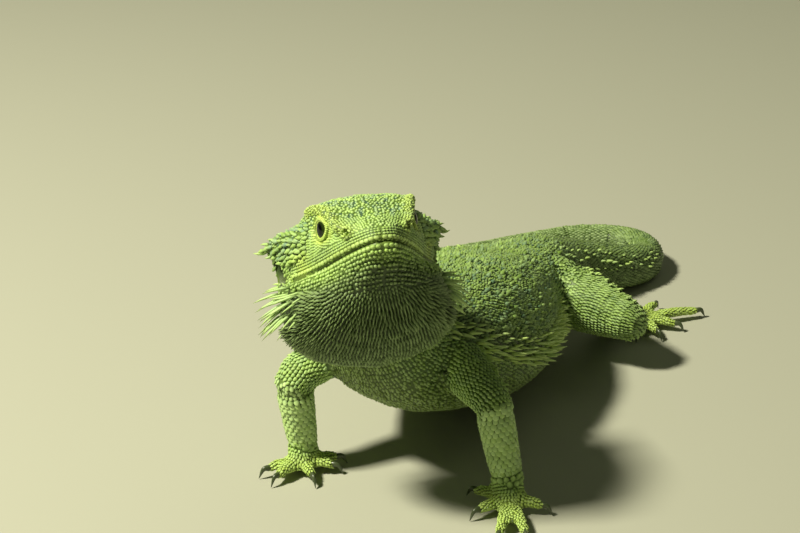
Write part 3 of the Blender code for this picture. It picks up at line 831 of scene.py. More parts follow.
# %% Make the lids
# Half the opening's length and height, and the lids' outer edge, as angles at the ball.
OPEN_LENGTH, OPEN_HEIGHT, LID_EDGE = (math.radians(a) for a in (38.0, 34.0, 84.0))
# Each lid's section: (share of the way from the opening to the edge, distance from the ball's
# middle in mm).
UPPER_LID = ((0.0, 4.36), (0.05, 4.66), (0.12, 4.96), (0.3, 5.25), (0.55, 5.45), (0.8, 5.15), (1.0, 4.3))
LOWER_LID = ((0.0, 4.36), (0.05, 4.6), (0.12, 4.86), (0.2, 4.92), (0.3, 4.42), (0.38, 4.38), (0.5, 5.0),
             (0.62, 5.34), (0.8, 5.1), (1.0, 4.2))


def lid_place(side, turn, share):
    """A place on the lids: turn runs round the almond, share from its edge outwards."""
    gaze, ahead, upward = eye_axes(side)
    across, tall = math.cos(turn), math.sin(turn)
    edge = 1.0 / math.hypot(across / OPEN_LENGTH, tall / OPEN_HEIGHT)
    edge *= 1.0 + 0.10 * abs(across) ** 8
    tip = edge + (LID_EDGE - edge) * share
    high = float(ramp(np.array(tall), -0.25, 0.35))
    reach = high * np.interp(share, *zip(*UPPER_LID)) + (1 - high) * np.interp(share, *zip(*LOWER_LID))
    way = math.cos(tip) * gaze + math.sin(tip) * (across * ahead + tall * upward)
    return eye_centres[side] + reach * way, way


def make_lids(side, columns=72, rows=22):
    """Both lids of one eye as a closed band, thin at its edges, round the opening."""
    outer, inner = [], []
    for r in range(rows):
        share = (r / (rows - 1)) ** 1.25
        thickness = 0.05 if r in (0, rows - 1) else 0.22
        for c in range(columns):
            place, way = lid_place(side, math.tau * c / columns, share)
            outer.append(place)
            inner.append(place - thickness * way)
    faces = grid_faces(rows, columns)
    back = [tuple(reversed([i + rows * columns for i in f])) for f in faces]
    rims = []
    for r in (0, rows - 1):
        for c in range(columns):
            a, b = r * columns + c, r * columns + (c + 1) % columns
            rim = (a, a + rows * columns, b + rows * columns, b)
            rims.append(rim if r == 0 else tuple(reversed(rim)))
    return new_piece("lids_" + side, outer + inner, faces + back + rims, scale_keratin)


lids = {side: make_lids(side) for side in SIDES}
print("faces of one eye's lids:", len(lids["left"].data.polygons))

# %% [markdown]
# ## How scales are made
# Hair can be drawn as curves, but a scale is a thing with a thickness, an edge and often a
# keel, so each one here is a small closed mesh. Three kinds of shape are enough. A plate is a
# leaf with a raised shoulder and a keel along its middle, and can be low, sharply keeled,
# narrow as a blade or blunt as a roof tile. A pebble is a low dome with six sides. A spine is
# a bent cone. Each is described once, one unit long, and then copied by array arithmetic to
# thousands of places at once, each turned, stretched and tilted a little differently. Copying
# by arithmetic takes a second where objects would take minutes.

# %% A closed shape from rings
RIDGE = 100  # in a fan, corners counted from here on are those of the ridge


def closed_shape(rings, ridge, fan):
    """Corners and triangles of a scale: rings from its foot up, and a fan that closes the last."""
    sides = len(rings[0])
    corners = [p for ring in rings for p in ring] + list(ridge)
    triangles = []
    for r in range(len(rings) - 1):
        for c in range(sides):
            a, b = r * sides + c, r * sides + (c + 1) % sides
            triangles += [(a, b, b + sides), (a, b + sides, a + sides)]
    last, above = (len(rings) - 1) * sides, len(rings) * sides
    triangles += [tuple(above + i - RIDGE if i >= RIDGE else last + i for i in t) for t in fan]
    triangles += [(0, c + 1, c) for c in range(1, sides - 1)]
    return np.array(corners, dtype=float), np.array(triangles)


# %% Plates, pebbles and spines
# In each shape, relief runs from 0 at the foot to 1 at the keel or tip. In the hide's colour it sets the
# painted shade of the gaps and the painted highlight of the keels.
def plate_shape(keel, blunt, puff):
    """A leaf-shaped scale. Its root is at 0, its free tip at 1, its half width 0.5."""
    half = [(0.0, 0.22), (0.42, 0.5), (0.82, blunt)]
    outline = half + [(1.0, 0.0)] + [(x, -y) for x, y in reversed(half)]
    base = [(x, y, -0.4 if x < 0.6 else -0.1) for x, y in outline]
    shoulder = [(0.05 + 0.92 * x, 0.92 * y, 0.6 * puff if x < 0.2 else puff) for x, y in outline]
    ridge = [(0.2, 0.0, puff + 0.1 * keel), (0.84, 0.0, puff + (1.0 - puff) * keel)]
    a, b = RIDGE, RIDGE + 1
    fan = [(0, 1, a), (1, b, a), (1, 2, b), (2, 3, b), (3, 4, b), (4, 5, b), (5, a, b), (5, 6, a), (6, 0, a)]
    corners, triangles = closed_shape([base, shoulder], ridge, fan)
    relief = [0.15 * x for x, _ in outline] + [0.12 + 0.72 * x for x, _ in outline] + [0.4, 1.0]
    return corners, triangles[:, ::-1], np.array(relief)


def dome_ring(sides, radius, height):
    """A level ring of corners round the middle of a pebble."""
    turns = np.arange(sides) * math.tau / sides
    return [(0.5 + radius * math.cos(a), radius * math.sin(a), height) for a in turns]


def pebble_shape(sides=6):
    """A low dome, centred on its place."""
    fan = [(c, (c + 1) % sides, RIDGE) for c in range(sides)]
    rings = [dome_ring(sides, 0.5, -0.35), dome_ring(sides, 0.39, 0.55)]
    corners, triangles = closed_shape(rings, [(0.5, 0.0, 1.0)], fan)
    return corners, triangles, np.array([0.0] * sides + [0.6] * sides + [1.0])


def spine_shape(bend=0.25, sides=5):
    """A horn-like cone, one unit long, bending back towards the skin."""
    rings = []
    for x, radius in ((0.0, 0.5), (0.3, 0.46), (0.68, 0.29)):
        lift = bend * math.sin(math.pi * x) - (0.15 if x == 0 else 0.0)
        rings.append([(x, radius * math.cos(a), lift + radius * math.sin(a))
                      for a in np.arange(sides) * math.tau / sides])
    fan = [(c, (c + 1) % sides, RIDGE) for c in range(sides)]
    corners, triangles = closed_shape(rings, [(1.0, 0.0, 0.0)], fan)
    return corners, triangles, np.array([0.1] * sides + [0.55] * sides + [0.85] * sides + [1.0])


PLATE = plate_shape(keel=0.4, blunt=0.3, puff=0.45)
KEELED = plate_shape(keel=1.0, blunt=0.24, puff=0.28)
BLADE = plate_shape(keel=1.0, blunt=0.16, puff=0.3)
TILE = plate_shape(keel=0.2, blunt=0.4, puff=0.55)
PEBBLE, SPINE_CONE = pebble_shape(), spine_shape()
for shape_name, shape in (("plate", PLATE), ("pebble", PEBBLE), ("spine", SPINE_CONE)):
    print(shape_name, "triangles:", len(shape[1]))

# %% [markdown]
# ## Where scales grow
# Scales stand in rows. To find the rows, rays are cast outwards from a line inside the body,
# at even angles, and each ray marks a place where it leaves the skin. Every second ring is
# turned by half a step, which gives the brick pattern of real scales. A place is only kept if
# no scale has been sown too near, so patches meet without piling up, and random places fill
# the last gaps.

# %% The finished skin as a target for rays
skin_tree = BVHTree.FromPolygons([tuple(p) for p in shaped], [tuple(p.vertices) for p in skin_mesh.polygons])
sown = {}
CELL = 2.5  # mm, places are kept in cubes of this size, so that only near ones are compared


def cell_of(place):
    """The cube that a place lies in."""
    return tuple(int(v) for v in np.floor(np.asarray(place) / CELL))


def has_room(place, spacing):
    """True if nothing already sown is nearer than the mean of the two spacings."""
    cx, cy, cz = cell_of(place)
    x, y, z = place
    for i in (cx - 1, cx, cx + 1):
        for j in (cy - 1, cy, cy + 1):
            for k in (cz - 1, cz, cz + 1):
                for px, py, pz, own in sown.get((i, j, k), ()):
                    gap = 0.5 * (own + spacing)
                    if (px - x) ** 2 + (py - y) ** 2 + (pz - z) ** 2 < gap * gap:
                        return False
    return True


def sow(place, spacing):
    """Note that a scale with this much room round it grows here."""
    sown.setdefault(cell_of(place), []).append((*place, spacing))


def with_room(spacing, places, *others):
    """Sow the places one after the other. Keep those that had room, and what goes with them."""
    spacing = np.broadcast_to(spacing, len(places))
    kept = []
    for i, place in enumerate(map(tuple, places)):
        if has_room(place, spacing[i]):
            sow(place, spacing[i])
            kept.append(i)
    kept = np.array(kept, dtype=int)
    return [table[kept] for table in (places, *others)]


# %% Measuring along lines and casting rays
def lengths_along(points):
    """Distance from the first point to each one, along the line through them."""
    return np.concatenate([[0], np.cumsum(np.linalg.norm(np.diff(points, axis=0), axis=1))])


def at_length(at, lengths, table):
    """Rows of a table, such as places, read off at these lengths along its line."""
    return np.stack([np.interp(at, lengths, column) for column in np.asarray(table).T], axis=-1)


def flattened(vectors, normals):
    """Vectors without the part of them that stands up from the skin."""
    return vectors - (vectors * normals).sum(axis=1)[:, None] * normals


def cast_out(start, way, reach=75.0):
    """Where a ray from inside leaves the skin, and the skin's direction there."""
    place, normal, _, _ = skin_tree.ray_cast(Vector(start), Vector(way), reach)
    return (place, normal) if place is not None else None


def split_hits(hits):
    """Places and normals of what rays hit, as two arrays."""
    return tuple(np.array([tuple(hit[i]) for hit in hits]).reshape(-1, 3) for i in (0, 1))


# %% Rows of places
def even_ring(ways, pitch, shift, last):
    """Places round the skin at even steps of its own outline, and their number. ways gives a
    ray for an angle. The last ring's number is kept while it nearly fits, so that the
    diagonals run on."""
    angles = np.linspace(-math.pi, math.pi, 49)
    probes = [ways(a) for a in angles]
    hits = [cast_out(*probe) for probe in probes]
    if any(hit is None for hit in hits):
        return [], last
    outline = np.array([tuple(hit[0]) for hit in hits])
    lengths = lengths_along(outline)
    count = max(5, round(lengths[-1] / pitch))
    if abs(count - last) <= 0.08 * last:
        count = last
    steps = (np.arange(count) + shift) * lengths[-1] / count
    found = [cast_out(*ways(a)) for a in np.interp(steps, lengths, angles)]
    return [hit for hit in found if hit], count


def rows_along(path, up_guides, pitch_along, pitch_across):
    """Staggered rings of places along a path inside the body. The guides say which way is up."""
    lengths = lengths_along(path)
    found, count = [], 0
    for k, at in enumerate(np.arange(0.3, lengths[-1], pitch_along)):
        centre = at_length(at, lengths, path)
        tangent = unit(at_length(at + 1.5, lengths, path) - at_length(at - 1.5, lengths, path))
        across = unit(np.cross(tangent, unit(at_length(at, lengths, up_guides))))
        upward = np.cross(across, tangent)

        def ways(a, c=centre, x=across, y=upward):
            return c, math.cos(a) * x + math.sin(a) * y

        hits, count = even_ring(ways, pitch_across, 0.5 * (k % 2), count)
        found += hits
    return split_hits(found)


# %% Rows round the snout
PROBE = 0.03        # the turn, as an angle, over which the distance between rings is measured
HEAD_RADIUS = 25.0  # mm, stands in where no ray hits


def rows_round_snout(middle, pole, pitch_along, pitch_across, reach, wedge=(0.0, math.tau)):
    """Staggered rings of places round the snout, cast from the middle of the head. The rings
    keep their distance best inside the wedge of angles."""
    middle, pole = on_head(*middle), unit(on_head(*pole) - on_head(*middle))
    across = unit(np.cross(pole, UP))
    upward = np.cross(across, pole)
    found, tip, k, count = [], PROBE, 0, 0
    while tip < reach:
        def ways(a, tip=tip):
            aside = math.cos(a) * across + math.sin(a) * upward
            return middle, math.cos(tip) * pole + math.sin(tip) * aside

        hits, count = even_ring(ways, pitch_across, 0.5 * (k % 2), count)
        found += hits
        steps = []
        for a in np.linspace(*wedge, 9):
            near, far = cast_out(*ways(a)), cast_out(*ways(a, tip + PROBE))
            if near and far:
                steps.append((near[0] - far[0]).length / PROBE)
        tip += pitch_along / (float(np.mean(steps)) if steps else HEAD_RADIUS)
        k += 1
    return split_hits(found)


# %% Random places
def random_places(count, chosen):
    """Random places on the skin, even by area, on the faces whose first point is chosen."""
    skin_mesh.calc_loop_triangles()
    corners = np.empty(3 * len(skin_mesh.loop_triangles), dtype=np.int64)
    skin_mesh.loop_triangles.foreach_get("vertices", corners)
    corners = corners.reshape(-1, 3)
    a, b, c = shaped[corners[chosen[corners[:, 0]]]].transpose(1, 0, 2)
    facing = np.cross(b - a, c - a)
    area = np.linalg.norm(facing, axis=1)
    which = chance.choice(len(area), size=count, p=area / area.sum())
    u, v = chance.random(count), chance.random(count)
    u, v = np.where(u + v > 1, 1 - u, u)[:, None], np.where(u + v > 1, 1 - v, v)[:, None]
    places = a[which] + u * (b[which] - a[which]) + v * (c[which] - a[which])
    return places, unit(facing[which])


# %% [markdown]
# ## Which way scales lie, and an unwrap of the skin
# Scales on the head lie away from the snout, on the trunk towards the tail, on a limb
# towards the claws. The same measures that say this, how far along and how far round, also
# unwrap the skin: along is one side of the map and round is the other. Each scale gets a
# tiny patch of that map at its root, so its baked colour comes from where it grows.

# %% Measures along the spine
STEPS = 500
UPRIGHT = np.array([0, 0, 1.0])
SPINE_STEPS = np.linspace(0, len(SPINE) - 1, STEPS)
SPINE_LINE = np.array([curve_point(SPINE, t) for t in SPINE_STEPS])
SPINE_WAY = unit(np.gradient(SPINE_LINE, axis=0))


def nearest_on_spine(points):
    """Number of the nearest step of the spine, found for 4000 points at a time."""
    nearest = np.empty(len(points), dtype=int)
    for k in range(0, len(points), 4000):
        gaps = points[k:k + 4000, None, :] - SPINE_LINE[None, :, :]
        nearest[k:k + 4000] = (gaps ** 2).sum(axis=2).argmin(axis=1)
    return nearest


def step_at(station):
    """Number of the spine's step at a station."""
    return int(round(station / (len(SPINE) - 1) * (STEPS - 1)))


def aside_at(step, sign):
    """Level direction out to the left, or to the right where sign is -1, at a step."""
    return sign * unit(np.cross(UPRIGHT, -SPINE_WAY[step]))


print("spine and tail, mm:", round(float(lengths_along(SPINE_LINE)[-1])))


# %% Which way scales lie
HEAD_MIDDLE = (24.0, 0.0, -5.0)
SNOUT_POLE = (0.0, 0.0, -3.0)
LENGTHS = {"upper_arm": 0, "thigh": 0, "forearm": 1, "shank": 1, "hand": 2, "foot": 2}


def limb_of(owner):
    """A limb's name and which of its lengths a solid is: 0, 1 or, for a paw, 2."""
    part, side = owner.rsplit("_", 1)
    return ("arm_" if part in ("upper_arm", "forearm", "hand") else "leg_") + side, LENGTHS[part]


def lie_of(points, normals, owners):
    """Unit directions in which scales at these places lie, along the skin."""
    lie = SPINE_WAY[nearest_on_spine(points)]
    middle = on_head(*HEAD_MIDDLE)
    pole = unit(on_head(*SNOUT_POLE) - middle)
    out = unit(points - middle)
    on_the_head = np.isin(owners, HEAD_PARTS)
    lie[on_the_head] = ((out @ pole)[:, None] * out - pole)[on_the_head]
    for owner in set(owners[is_kind(owners, *LIMB_KINDS, *PAWS)]):
        chosen = owners == owner
        name, length = limb_of(owner)
        if length < 2:
            lie[chosen] = LIMBS[name][length + 1] - LIMBS[name][length]
        else:
            lie[chosen] = points[chosen] - PADS[owner] - 2.0 * UPRIGHT
    return unit(flattened(lie, normals))


# %% Unwrap the skin
def trunk_unwrap(points):
    """Share of the way along the spine, and of the turn round it."""
    nearest = nearest_on_spine(points)
    off_line = points - SPINE_LINE[nearest]
    sideways = unit(np.cross(SPINE_WAY, UPRIGHT))[nearest]
    turn = np.arctan2(off_line[:, 2], (off_line * sideways).sum(axis=1))
    return nearest / STEPS, turn / math.tau + 0.5


def head_unwrap(points):
    """Share of the way back from the snout, and of the turn round it."""
    h = to_head(points) - np.array(HEAD_MIDDLE)
    tip = np.arccos(np.clip(-h[:, 0] / np.linalg.norm(h, axis=1), -1, 1))
    return tip / math.pi, np.arctan2(h[:, 2], h[:, 1]) / math.tau + 0.5


def limb_unwrap(points, owner):
    """Share of the way down a limb, the right limbs on one half of the map, and round it."""
    name, length = limb_of(owner)
    if length == 2:
        off = points - PADS[owner]
        along, turn = 1.0 + np.hypot(off[:, 0], off[:, 1]) / 22.0, np.arctan2(off[:, 1], off[:, 0])
    else:
        a, b = LIMBS[name][length:length + 2]
        way = unit(b - a)
        aside = unit(np.cross(way, [0.3, 1.0, 0.2]))
        off = points - a
        along = (off @ way) / np.linalg.norm(b - a)
        turn = np.arctan2(off @ aside, off @ np.cross(way, aside))
    half = 0.5 if owner.endswith("left") else 0.0
    down = np.clip((length + np.clip(along, -0.1, 2.2)) / 3.3, 0.01, 1)
    return half + 0.48 * down, turn / math.tau + 0.5


def unwrap_of(points, owners):
    """Place of each root on the unwrap of its part of the skin, 0 to 1 both ways."""
    unwrap = np.column_stack(trunk_unwrap(points))
    on_the_head = np.isin(owners, HEAD_PARTS)
    unwrap[on_the_head] = np.column_stack(head_unwrap(points[on_the_head]))
    for owner in set(owners[is_kind(owners, *LIMB_KINDS, *PAWS)]):
        chosen = owners == owner
        unwrap[chosen] = np.column_stack(limb_unwrap(points[chosen], owner))
    return 0.01 + 0.98 * np.clip(unwrap, 0.0, 1.0)


# %% [markdown]
# ## The animal's markings, and some painted shade
# Skin and scales must carry the same pattern or the coat looks pasted on. So the pattern is
# worked out from the place alone: how golden, how olive and how slaty the hide is there. Each
# scale takes the value at its root, so that it has one even colour, as a real scale has. Low
# on the trunk and along the flank spines, the olive is painted shade.

# %% How golden, olive or slaty the hide is
JAW_CORNER = (38.0, 25.0, -13.0)
CHEEK_SPOT = (29.0, 20.4, -0.5)
EYE_SPOT = (EYE_BEHIND, EYE_OUT, EYE_UP)
# The flanks' spines grow along a line: its height over the spine in mm, by station.
FRINGE_AT = (2.0, 2.8, 3.4, 4.2, 5.5, 9.5)
FRINGE_UP = (13.0, 8.0, 4.5, 1.5, 0.5, 0.0)


def head_shares(points):
    """Gold on brow, eye, cheek, nose and lip, olive in the beard, slate on crown and temple."""
    h = to_head(points)
    half = folded(h)
    below = -above_mouth(half)
    corner = fade(np.linalg.norm((half - np.array(JAW_CORNER)) * [0.7, 1.0, 1.0], axis=1), 7.0)
    gold = (ridge(half, BROW, height=0.9, width=1.6) + 0.75 * (1 - ramp(gap_to(half, EYE_SPOT), 5.0, 7.5))
            + 0.8 * fade(gap_to(half, CHEEK_SPOT), 3.6) + 0.7 * fade(gap_to(half, NOSTRIL), 2.4)
            + 0.35 * fade(-below - 1.0, 1.6))
    olive = 0.95 * ramp(below, 2.0, 8.0) + 0.9 * (1 - ramp(ear_reach(*h.T), 0.8, 1.1)) + 0.6 * corner
    slate = (0.2 + 0.75 * ramp(half[:, 2], 6.0, 10.0) * ramp(half[:, 0], 3.0, 9.0)
             + ridge(half, TEMPLE, height=0.8, width=4.0) + 0.8 * corner - 0.5 * ramp(below, 0.0, 3.0))
    return gold, olive, slate


def trunk_shares(points):
    """A little gold low on the flanks, slate along the back and a darker tail. The olive that
    grows low on the trunk and along the fringe's line is painted shade, under the body and round
    the roots of the flank spines.
    """
    nearest = nearest_on_spine(points)
    height = points[:, 2] - SPINE_LINE[nearest][:, 2]
    station = SPINE_STEPS[nearest]
    fringe = np.interp(station, FRINGE_AT, FRINGE_UP)
    gold = 0.12 * (1 - ramp(height, -12.0, -3.0))
    # painted shade: more olive under the body and round the roots of the flank spines
    olive = (0.36 + 0.5 * (1 - ramp(height, -12.0, -2.0)) + 0.6 * fade(height - fringe, 5.0)
             + 0.25 * ramp(station, 9.0, 11.0))
    return gold, olive, 0.35 + 0.6 * ramp(height, 0.0, 12.0)


def markings_and_shade_at(points, owners):
    """Shares of gold, olive and slate at each place, 0 to 1."""
    shares = np.tile([0.0, 0.3, 0.3], (len(points), 1))  # those of the legs
    shares[is_kind(owners, "upper", "forearm"), 1] = 0.0
    paws = is_kind(owners, *PAWS)
    shares[paws] = 0.0
    shares[paws, 0] = 0.55 * (1 - ramp(points[paws, 2], 5.0, 9.0))
    head = np.isin(owners, HEAD_PARTS)
    shares[head] = np.column_stack(head_shares(points[head]))
    trunk = is_kind(owners, *TRUNK_PARTS, "tail")
    shares[trunk] = np.column_stack(trunk_shares(points[trunk]))
    return np.clip(shares, 0, 1).T


# %% Mark the skin and the lids
def mark(mesh, roots, shares, relief, tint):
    """Store the markings, the relief, the tint and the root on every point of a mesh."""
    for key, values in zip(("gold", "olive", "slate", "relief", "tint"), (*shares, relief, tint)):
        store(mesh, key, values)
    mesh.attributes.new("root", "FLOAT_VECTOR", "POINT").data.foreach_set("vector", (roots * MM).ravel())


# The skin's relief is low, so the skin takes most of the painted shade of the gaps.
SKIN_RELIEF, SKIN_TINT = 0.2, 0.1  # low, because the skin is what shows in the gaps
LID_RELIEF, LID_TINT = 0.55, 0.5
skin_now = as_arrays(skin_mesh)[0]
# In the ear's hollow the skin's relief is lower still, which paints more shade there.
ear_share = 1 - ramp(ear_reach(*to_head(skin_now).T), 0.7, 1.1)
mark(skin_mesh, skin_now, markings_and_shade_at(skin_now, skin_owner), SKIN_RELIEF - 0.06 * ear_share,
     np.full(len(skin_now), SKIN_TINT))
skin_mesh.materials.append(scale_keratin)
for piece in lids.values():
    at = as_arrays(piece.data)[0]
    mark(piece.data, at, markings_and_shade_at(at, np.full(len(at), "head")), np.full(len(at), LID_RELIEF),
         np.full(len(at), LID_TINT))
print("marked points of the skin:", len(skin_now))

# %% [markdown]
# ## Copying a scale to its places
# One function makes every piece of the coat. For each place it works out three directions,
# along the scale, across it and up from it, turns them a little astray, and lays the shape's
# corners out along them. It keeps count of the triangles, because no piece may get too heavy.

# %% Directions and meshes of scales
def scale_axes(normals, lie, tilt, jitter):
    """Directions ahead along the skin, then along, across and up from each scale, all astray."""
    count = len(normals)
    yaw = jitter * chance.standard_normal(count)[:, None]
    ahead = np.cos(yaw) * lie + np.sin(yaw) * np.cross(normals, lie)
    pitch = (np.broadcast_to(tilt, count) + 0.3 * jitter * chance.standard_normal(count))[:, None]
    along = np.cos(pitch) * ahead + np.sin(pitch) * normals
    upward = np.cos(pitch) * normals - np.sin(pitch) * ahead
    return ahead, along, np.cross(normals, ahead), upward


def triangle_mesh(name, points, triangles):
    """A mesh filled from arrays of millimetre points and of triangles."""
    mesh = bpy.data.meshes.new(name)
    mesh.vertices.add(len(points))
    mesh.vertices.foreach_set("co", (points * MM).ravel())
    mesh.loops.add(triangles.size)
    mesh.loops.foreach_set("vertex_index", triangles.ravel())
    mesh.polygons.add(len(triangles))
    mesh.polygons.foreach_set("loop_start", np.arange(0, triangles.size, 3))
    mesh.update(calc_edges=True)
    return mesh


# %% Make one coat piece
PALE = {"forearm": 2.3, "upper": 0.4, "hand": 0.3, "head": 0.35}  # how much paler than the rest
PATCH = 0.003  # width of a scale's patch on the unwrap, as a share of its side
ROOTED = 0.3   # the share of a scale that lies behind its place
coat_triangles = []


def make_coat(name, shape, places, normals, sizes, slot, tilt=0.12, sink=0.1, jitter=0.1, lie=None,
              smooth=False, gild=0.0, soft=0.0, olive_kept=1.0, paler=0.0):
    """Copy a scale to every place. sizes holds its length, width and height, in mm. tilt lifts
    its tip, sink is the share of its height under the skin, and jitter is how much scales
    differ. gild, olive_kept and paler change the markings, and soft evens out the relief, which
    weakens the painted shade of the gaps."""
    corners, triangles, relief = shape
    count = len(places)
    owners = owners_of(places)
    lie = lie_of(places, normals, owners) if lie is None else unit(lie)
    ahead, *axes = scale_axes(normals, lie, tilt, jitter)
    size = np.broadcast_to(sizes, (count, 3)) * (1 + jitter * chance.standard_normal((count, 1)))
    roots = places - sink * size[:, 2:] * normals - ROOTED * size[:, :1] * ahead
    points = roots[:, None, :] + corners @ (size[:, :, None] * np.stack(axes, axis=1))
    faces = (triangles[None] + (np.arange(count) * len(corners))[:, None, None]).reshape(-1, 3)
    mesh = triangle_mesh(name, points.reshape(-1, 3), faces)
    if smooth:
        mesh.shade_smooth()
    mesh.materials.append(scale_keratin)

    each = np.repeat(np.arange(count), len(corners))  # which scale each point belongs to
    pale = np.maximum(paler, [PALE.get(kind_of(owner), 0.0) for owner in owners])
    tint = (pale + (1 - pale) * chance.random(count))[each]
    gold, olive, slate = markings_and_shade_at(places, owners)
    shares = [share[each] for share in (np.maximum(gold, gild), olive * olive_kept, slate)]
    mark(mesh, places[each], shares, np.tile(soft + (1.0 - soft) * relief, count), tint)
    patch = unwrap_of(places, owners)[each] + PATCH * np.tile(corners[:, :2] - [0.5, 0.0], (count, 1))
    layer = mesh.uv_layers.new(name="OFBake")
    layer.data.foreach_set("uv", patch[faces.ravel()].ravel())
    piece = stand(name, mesh)
    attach(piece, "root")
    coat_triangles.append(len(faces))
    print(name, "scales:", count, "triangles:", len(faces))


# %% [markdown]
# ## The face, from the lips outwards
# The face is sown first, from its edges inwards, because its rows are the most orderly. Two
# rows of lip scales follow the mouth. Tiny pebbles ring the eyes. Big keeled plates cover the
# temples, beads the chin, fine rows the cheeks, and uneven pebbles the crown.

# %% Where no scale grows
def head_measures(places):
    """Behind, side and height in the head's frame, then height over the mouth line."""
    h = to_head(places)
    return h[:, 0], np.abs(h[:, 1]), h[:, 2], above_mouth(h)


def bare_spot(places):
    """True over the eyes, in the ears and nostrils, and in the mouth's line."""
    behind, side, height, mouth = head_measures(places)
    half = np.column_stack([behind, side, height])
    in_mouth = (np.abs(mouth) < 0.5) & (behind < MOUTH_END) & (height < 3)
    in_ear = ear_reach(behind, side, height) < 0.98
    return (gap_to(half, EYE_SPOT) < 5.25) | in_ear | (gap_to(half, NOSTRIL) < 1.25) | in_mouth


# %% Lines along the lips
def lip_line(offset):
    """Dense places along the mouth line, this far above or below it, from right to left."""
    found = []
    for angle in np.radians(np.arange(-104.0, 104.1, 0.8)):
        way = math.cos(angle) * FORWARD + math.sin(angle) * LEFT
        height = -2.0
        for _ in range(3):
            hit = cast_out(on_head(30.0, 0.0, height), way)
            height = float(np.interp(to_head(np.array(hit[0]))[0], MOUTH_AT, MOUTH_UP)) + offset
        behind = to_head(np.array(hit[0]))[0]
        if behind < MOUTH_END:
            found.append(hit)
    return split_hits(found)


def evenly(places, normals, spacing, shift=0.5):
    """Places at even spacing along a dense line, with its normals and directions."""
    lengths = lengths_along(places)
    at = np.arange(shift * spacing, lengths[-1], spacing)
    along = unit(at_length(at + 0.5, lengths, places) - at_length(at - 0.5, lengths, places))
    return at_length(at, lengths, places), unit(at_length(at, lengths, normals)), along


def away_from_snout(along, places):
    """Flip directions so that they lead backwards on both sides of the head."""
    return along * np.where(to_head(places)[:, 1] < 0, -1, 1)[:, None]


def stacked(rows):
    """One array for each column of a list of rows of arrays."""
    return [np.concatenate(column) for column in zip(*rows)]


# %% Lip scales
LIPS = (  # name, height over the mouth line, pitch, size of a scale, all in mm
    ("upper_lip", 1.2, 1.7, (2.1, 1.45, 0.26)),
    ("lower_lip", -1.25, 1.6, (1.9, 1.5, 0.34)))
for lip_name, lip_offset, lip_pitch, lip_size in LIPS:
    lip_places, lip_normals, lip_along = evenly(*lip_line(lip_offset), lip_pitch)
    for lip_place in lip_places:
        sow(tuple(lip_place), 1.35)
    make_coat(lip_name, PEBBLE, lip_places, lip_normals, lip_size, "head_skin", tilt=0.02, jitter=0.04,
              lie=away_from_snout(lip_along, lip_places), smooth=True, soft=0.3)


# %% Rows of beads under the lower lip
CHIN_REACH = (34.0, 30.0, 26.0, 22.0, 19.0, 16.0, 14.0, 12.0)  # mm, how far back each row runs


def chin_beads(first=2.45, apart=1.12, pitch=1.22):
    """Places, normals and lies of rows below the mouth line, each row so far from the last."""
    rows = []
    for row, reach in enumerate(CHIN_REACH):
        spots, facing, along = evenly(*lip_line(-first - apart * row), pitch, 0.5 * (1 + row % 2))
        spots = spots + 0.1 * chance.standard_normal(spots.shape)
        inside = to_head(spots)[:, 0] < reach
        spots, facing, along = with_room(1.02, spots[inside], facing[inside], along[inside])
        rows.append((spots, facing, away_from_snout(along, spots)))
    return stacked(rows)


bead_places, bead_normals, bead_lies = chin_beads()
make_coat("chin_beads", PEBBLE, bead_places, bead_normals, (1.36, 1.26, 0.62), "beard_skin", tilt=0.1,
          jitter=0.09, lie=bead_lies, smooth=True)


# %% Pebbles on the lids
LID_ROWS = (0.10, 0.17, 0.25, 0.42, 0.51, 0.60, 0.69, 0.78)  # shares of the way out over a lid


def lid_pebbles(dense=120, pitch=0.62):
    """Places, normals and lies of rings round each eye. The fold between the lids stays bare."""
    rows = []
    for side in SIDES:
        for share in LID_ROWS:
            ring = [lid_place(side, math.tau * k / dense, share) for k in range(dense)]
            loop, ways = (np.array(column) for column in zip(*ring, ring[0]))
            rows.append(evenly(loop, ways, pitch))
    return stacked(rows)


lid_spots, lid_facing, lid_along = lid_pebbles()
make_coat("lid_pebbles", PEBBLE, lid_spots, lid_facing, (0.66, 0.56, 0.16), "head_skin", tilt=0.0, sink=0.25,
          jitter=0.06, lie=lid_along, smooth=True)


# %% Fine rows above the upper lip
def rows_over_lip(pitch=1.02):
    """Places, normals and lies of rows that follow the mouth, from the snout to below the eye."""
    rows = []
    for row, offset in enumerate((2.4, 3.3, 4.15)):
        spots, facing, along = with_room(0.66, *evenly(*lip_line(offset), pitch, 0.5 * (1 + row % 2)))
        clear = ~bare_spot(spots)
        rows.append((spots[clear], facing[clear], away_from_snout(along[clear], spots[clear])))
    return stacked(rows)


row_places, row_normals, row_lies = rows_over_lip()
make_coat("over_lip_scales", PLATE, row_places, row_normals, (1.16, 0.9, 0.36), "head_skin", tilt=0.1,
          jitter=0.08, lie=row_lies)


# %% Sort places into regions of the head
def region_of(places):
    """Name of the head region at each place. Limits are in mm in the head's frame."""
    behind, side, height, mouth = head_measures(places)
    names = np.full(len(places), "crown", dtype=object)
    names[(mouth > 0) & (height < 9.0) & (side > 3)] = "cheek"
    names[(height > 0.5) & (height < 11.0) & (behind > 26) & (side > 14)] = "temple"
    names[mouth <= 0] = "beard"
    return names


def sow_region(candidates, wanted, spacing):
    """Keep candidates on the head that are wanted and have room. wanted is a region or a rule."""
    places, normals = candidates
    fits = region_of(places) == wanted if isinstance(wanted, str) else wanted(places)
    fits &= ~bare_spot(places) & np.isin(owners_of(places), HEAD_PARTS)
    return with_room(spacing, places[fits], normals[fits])


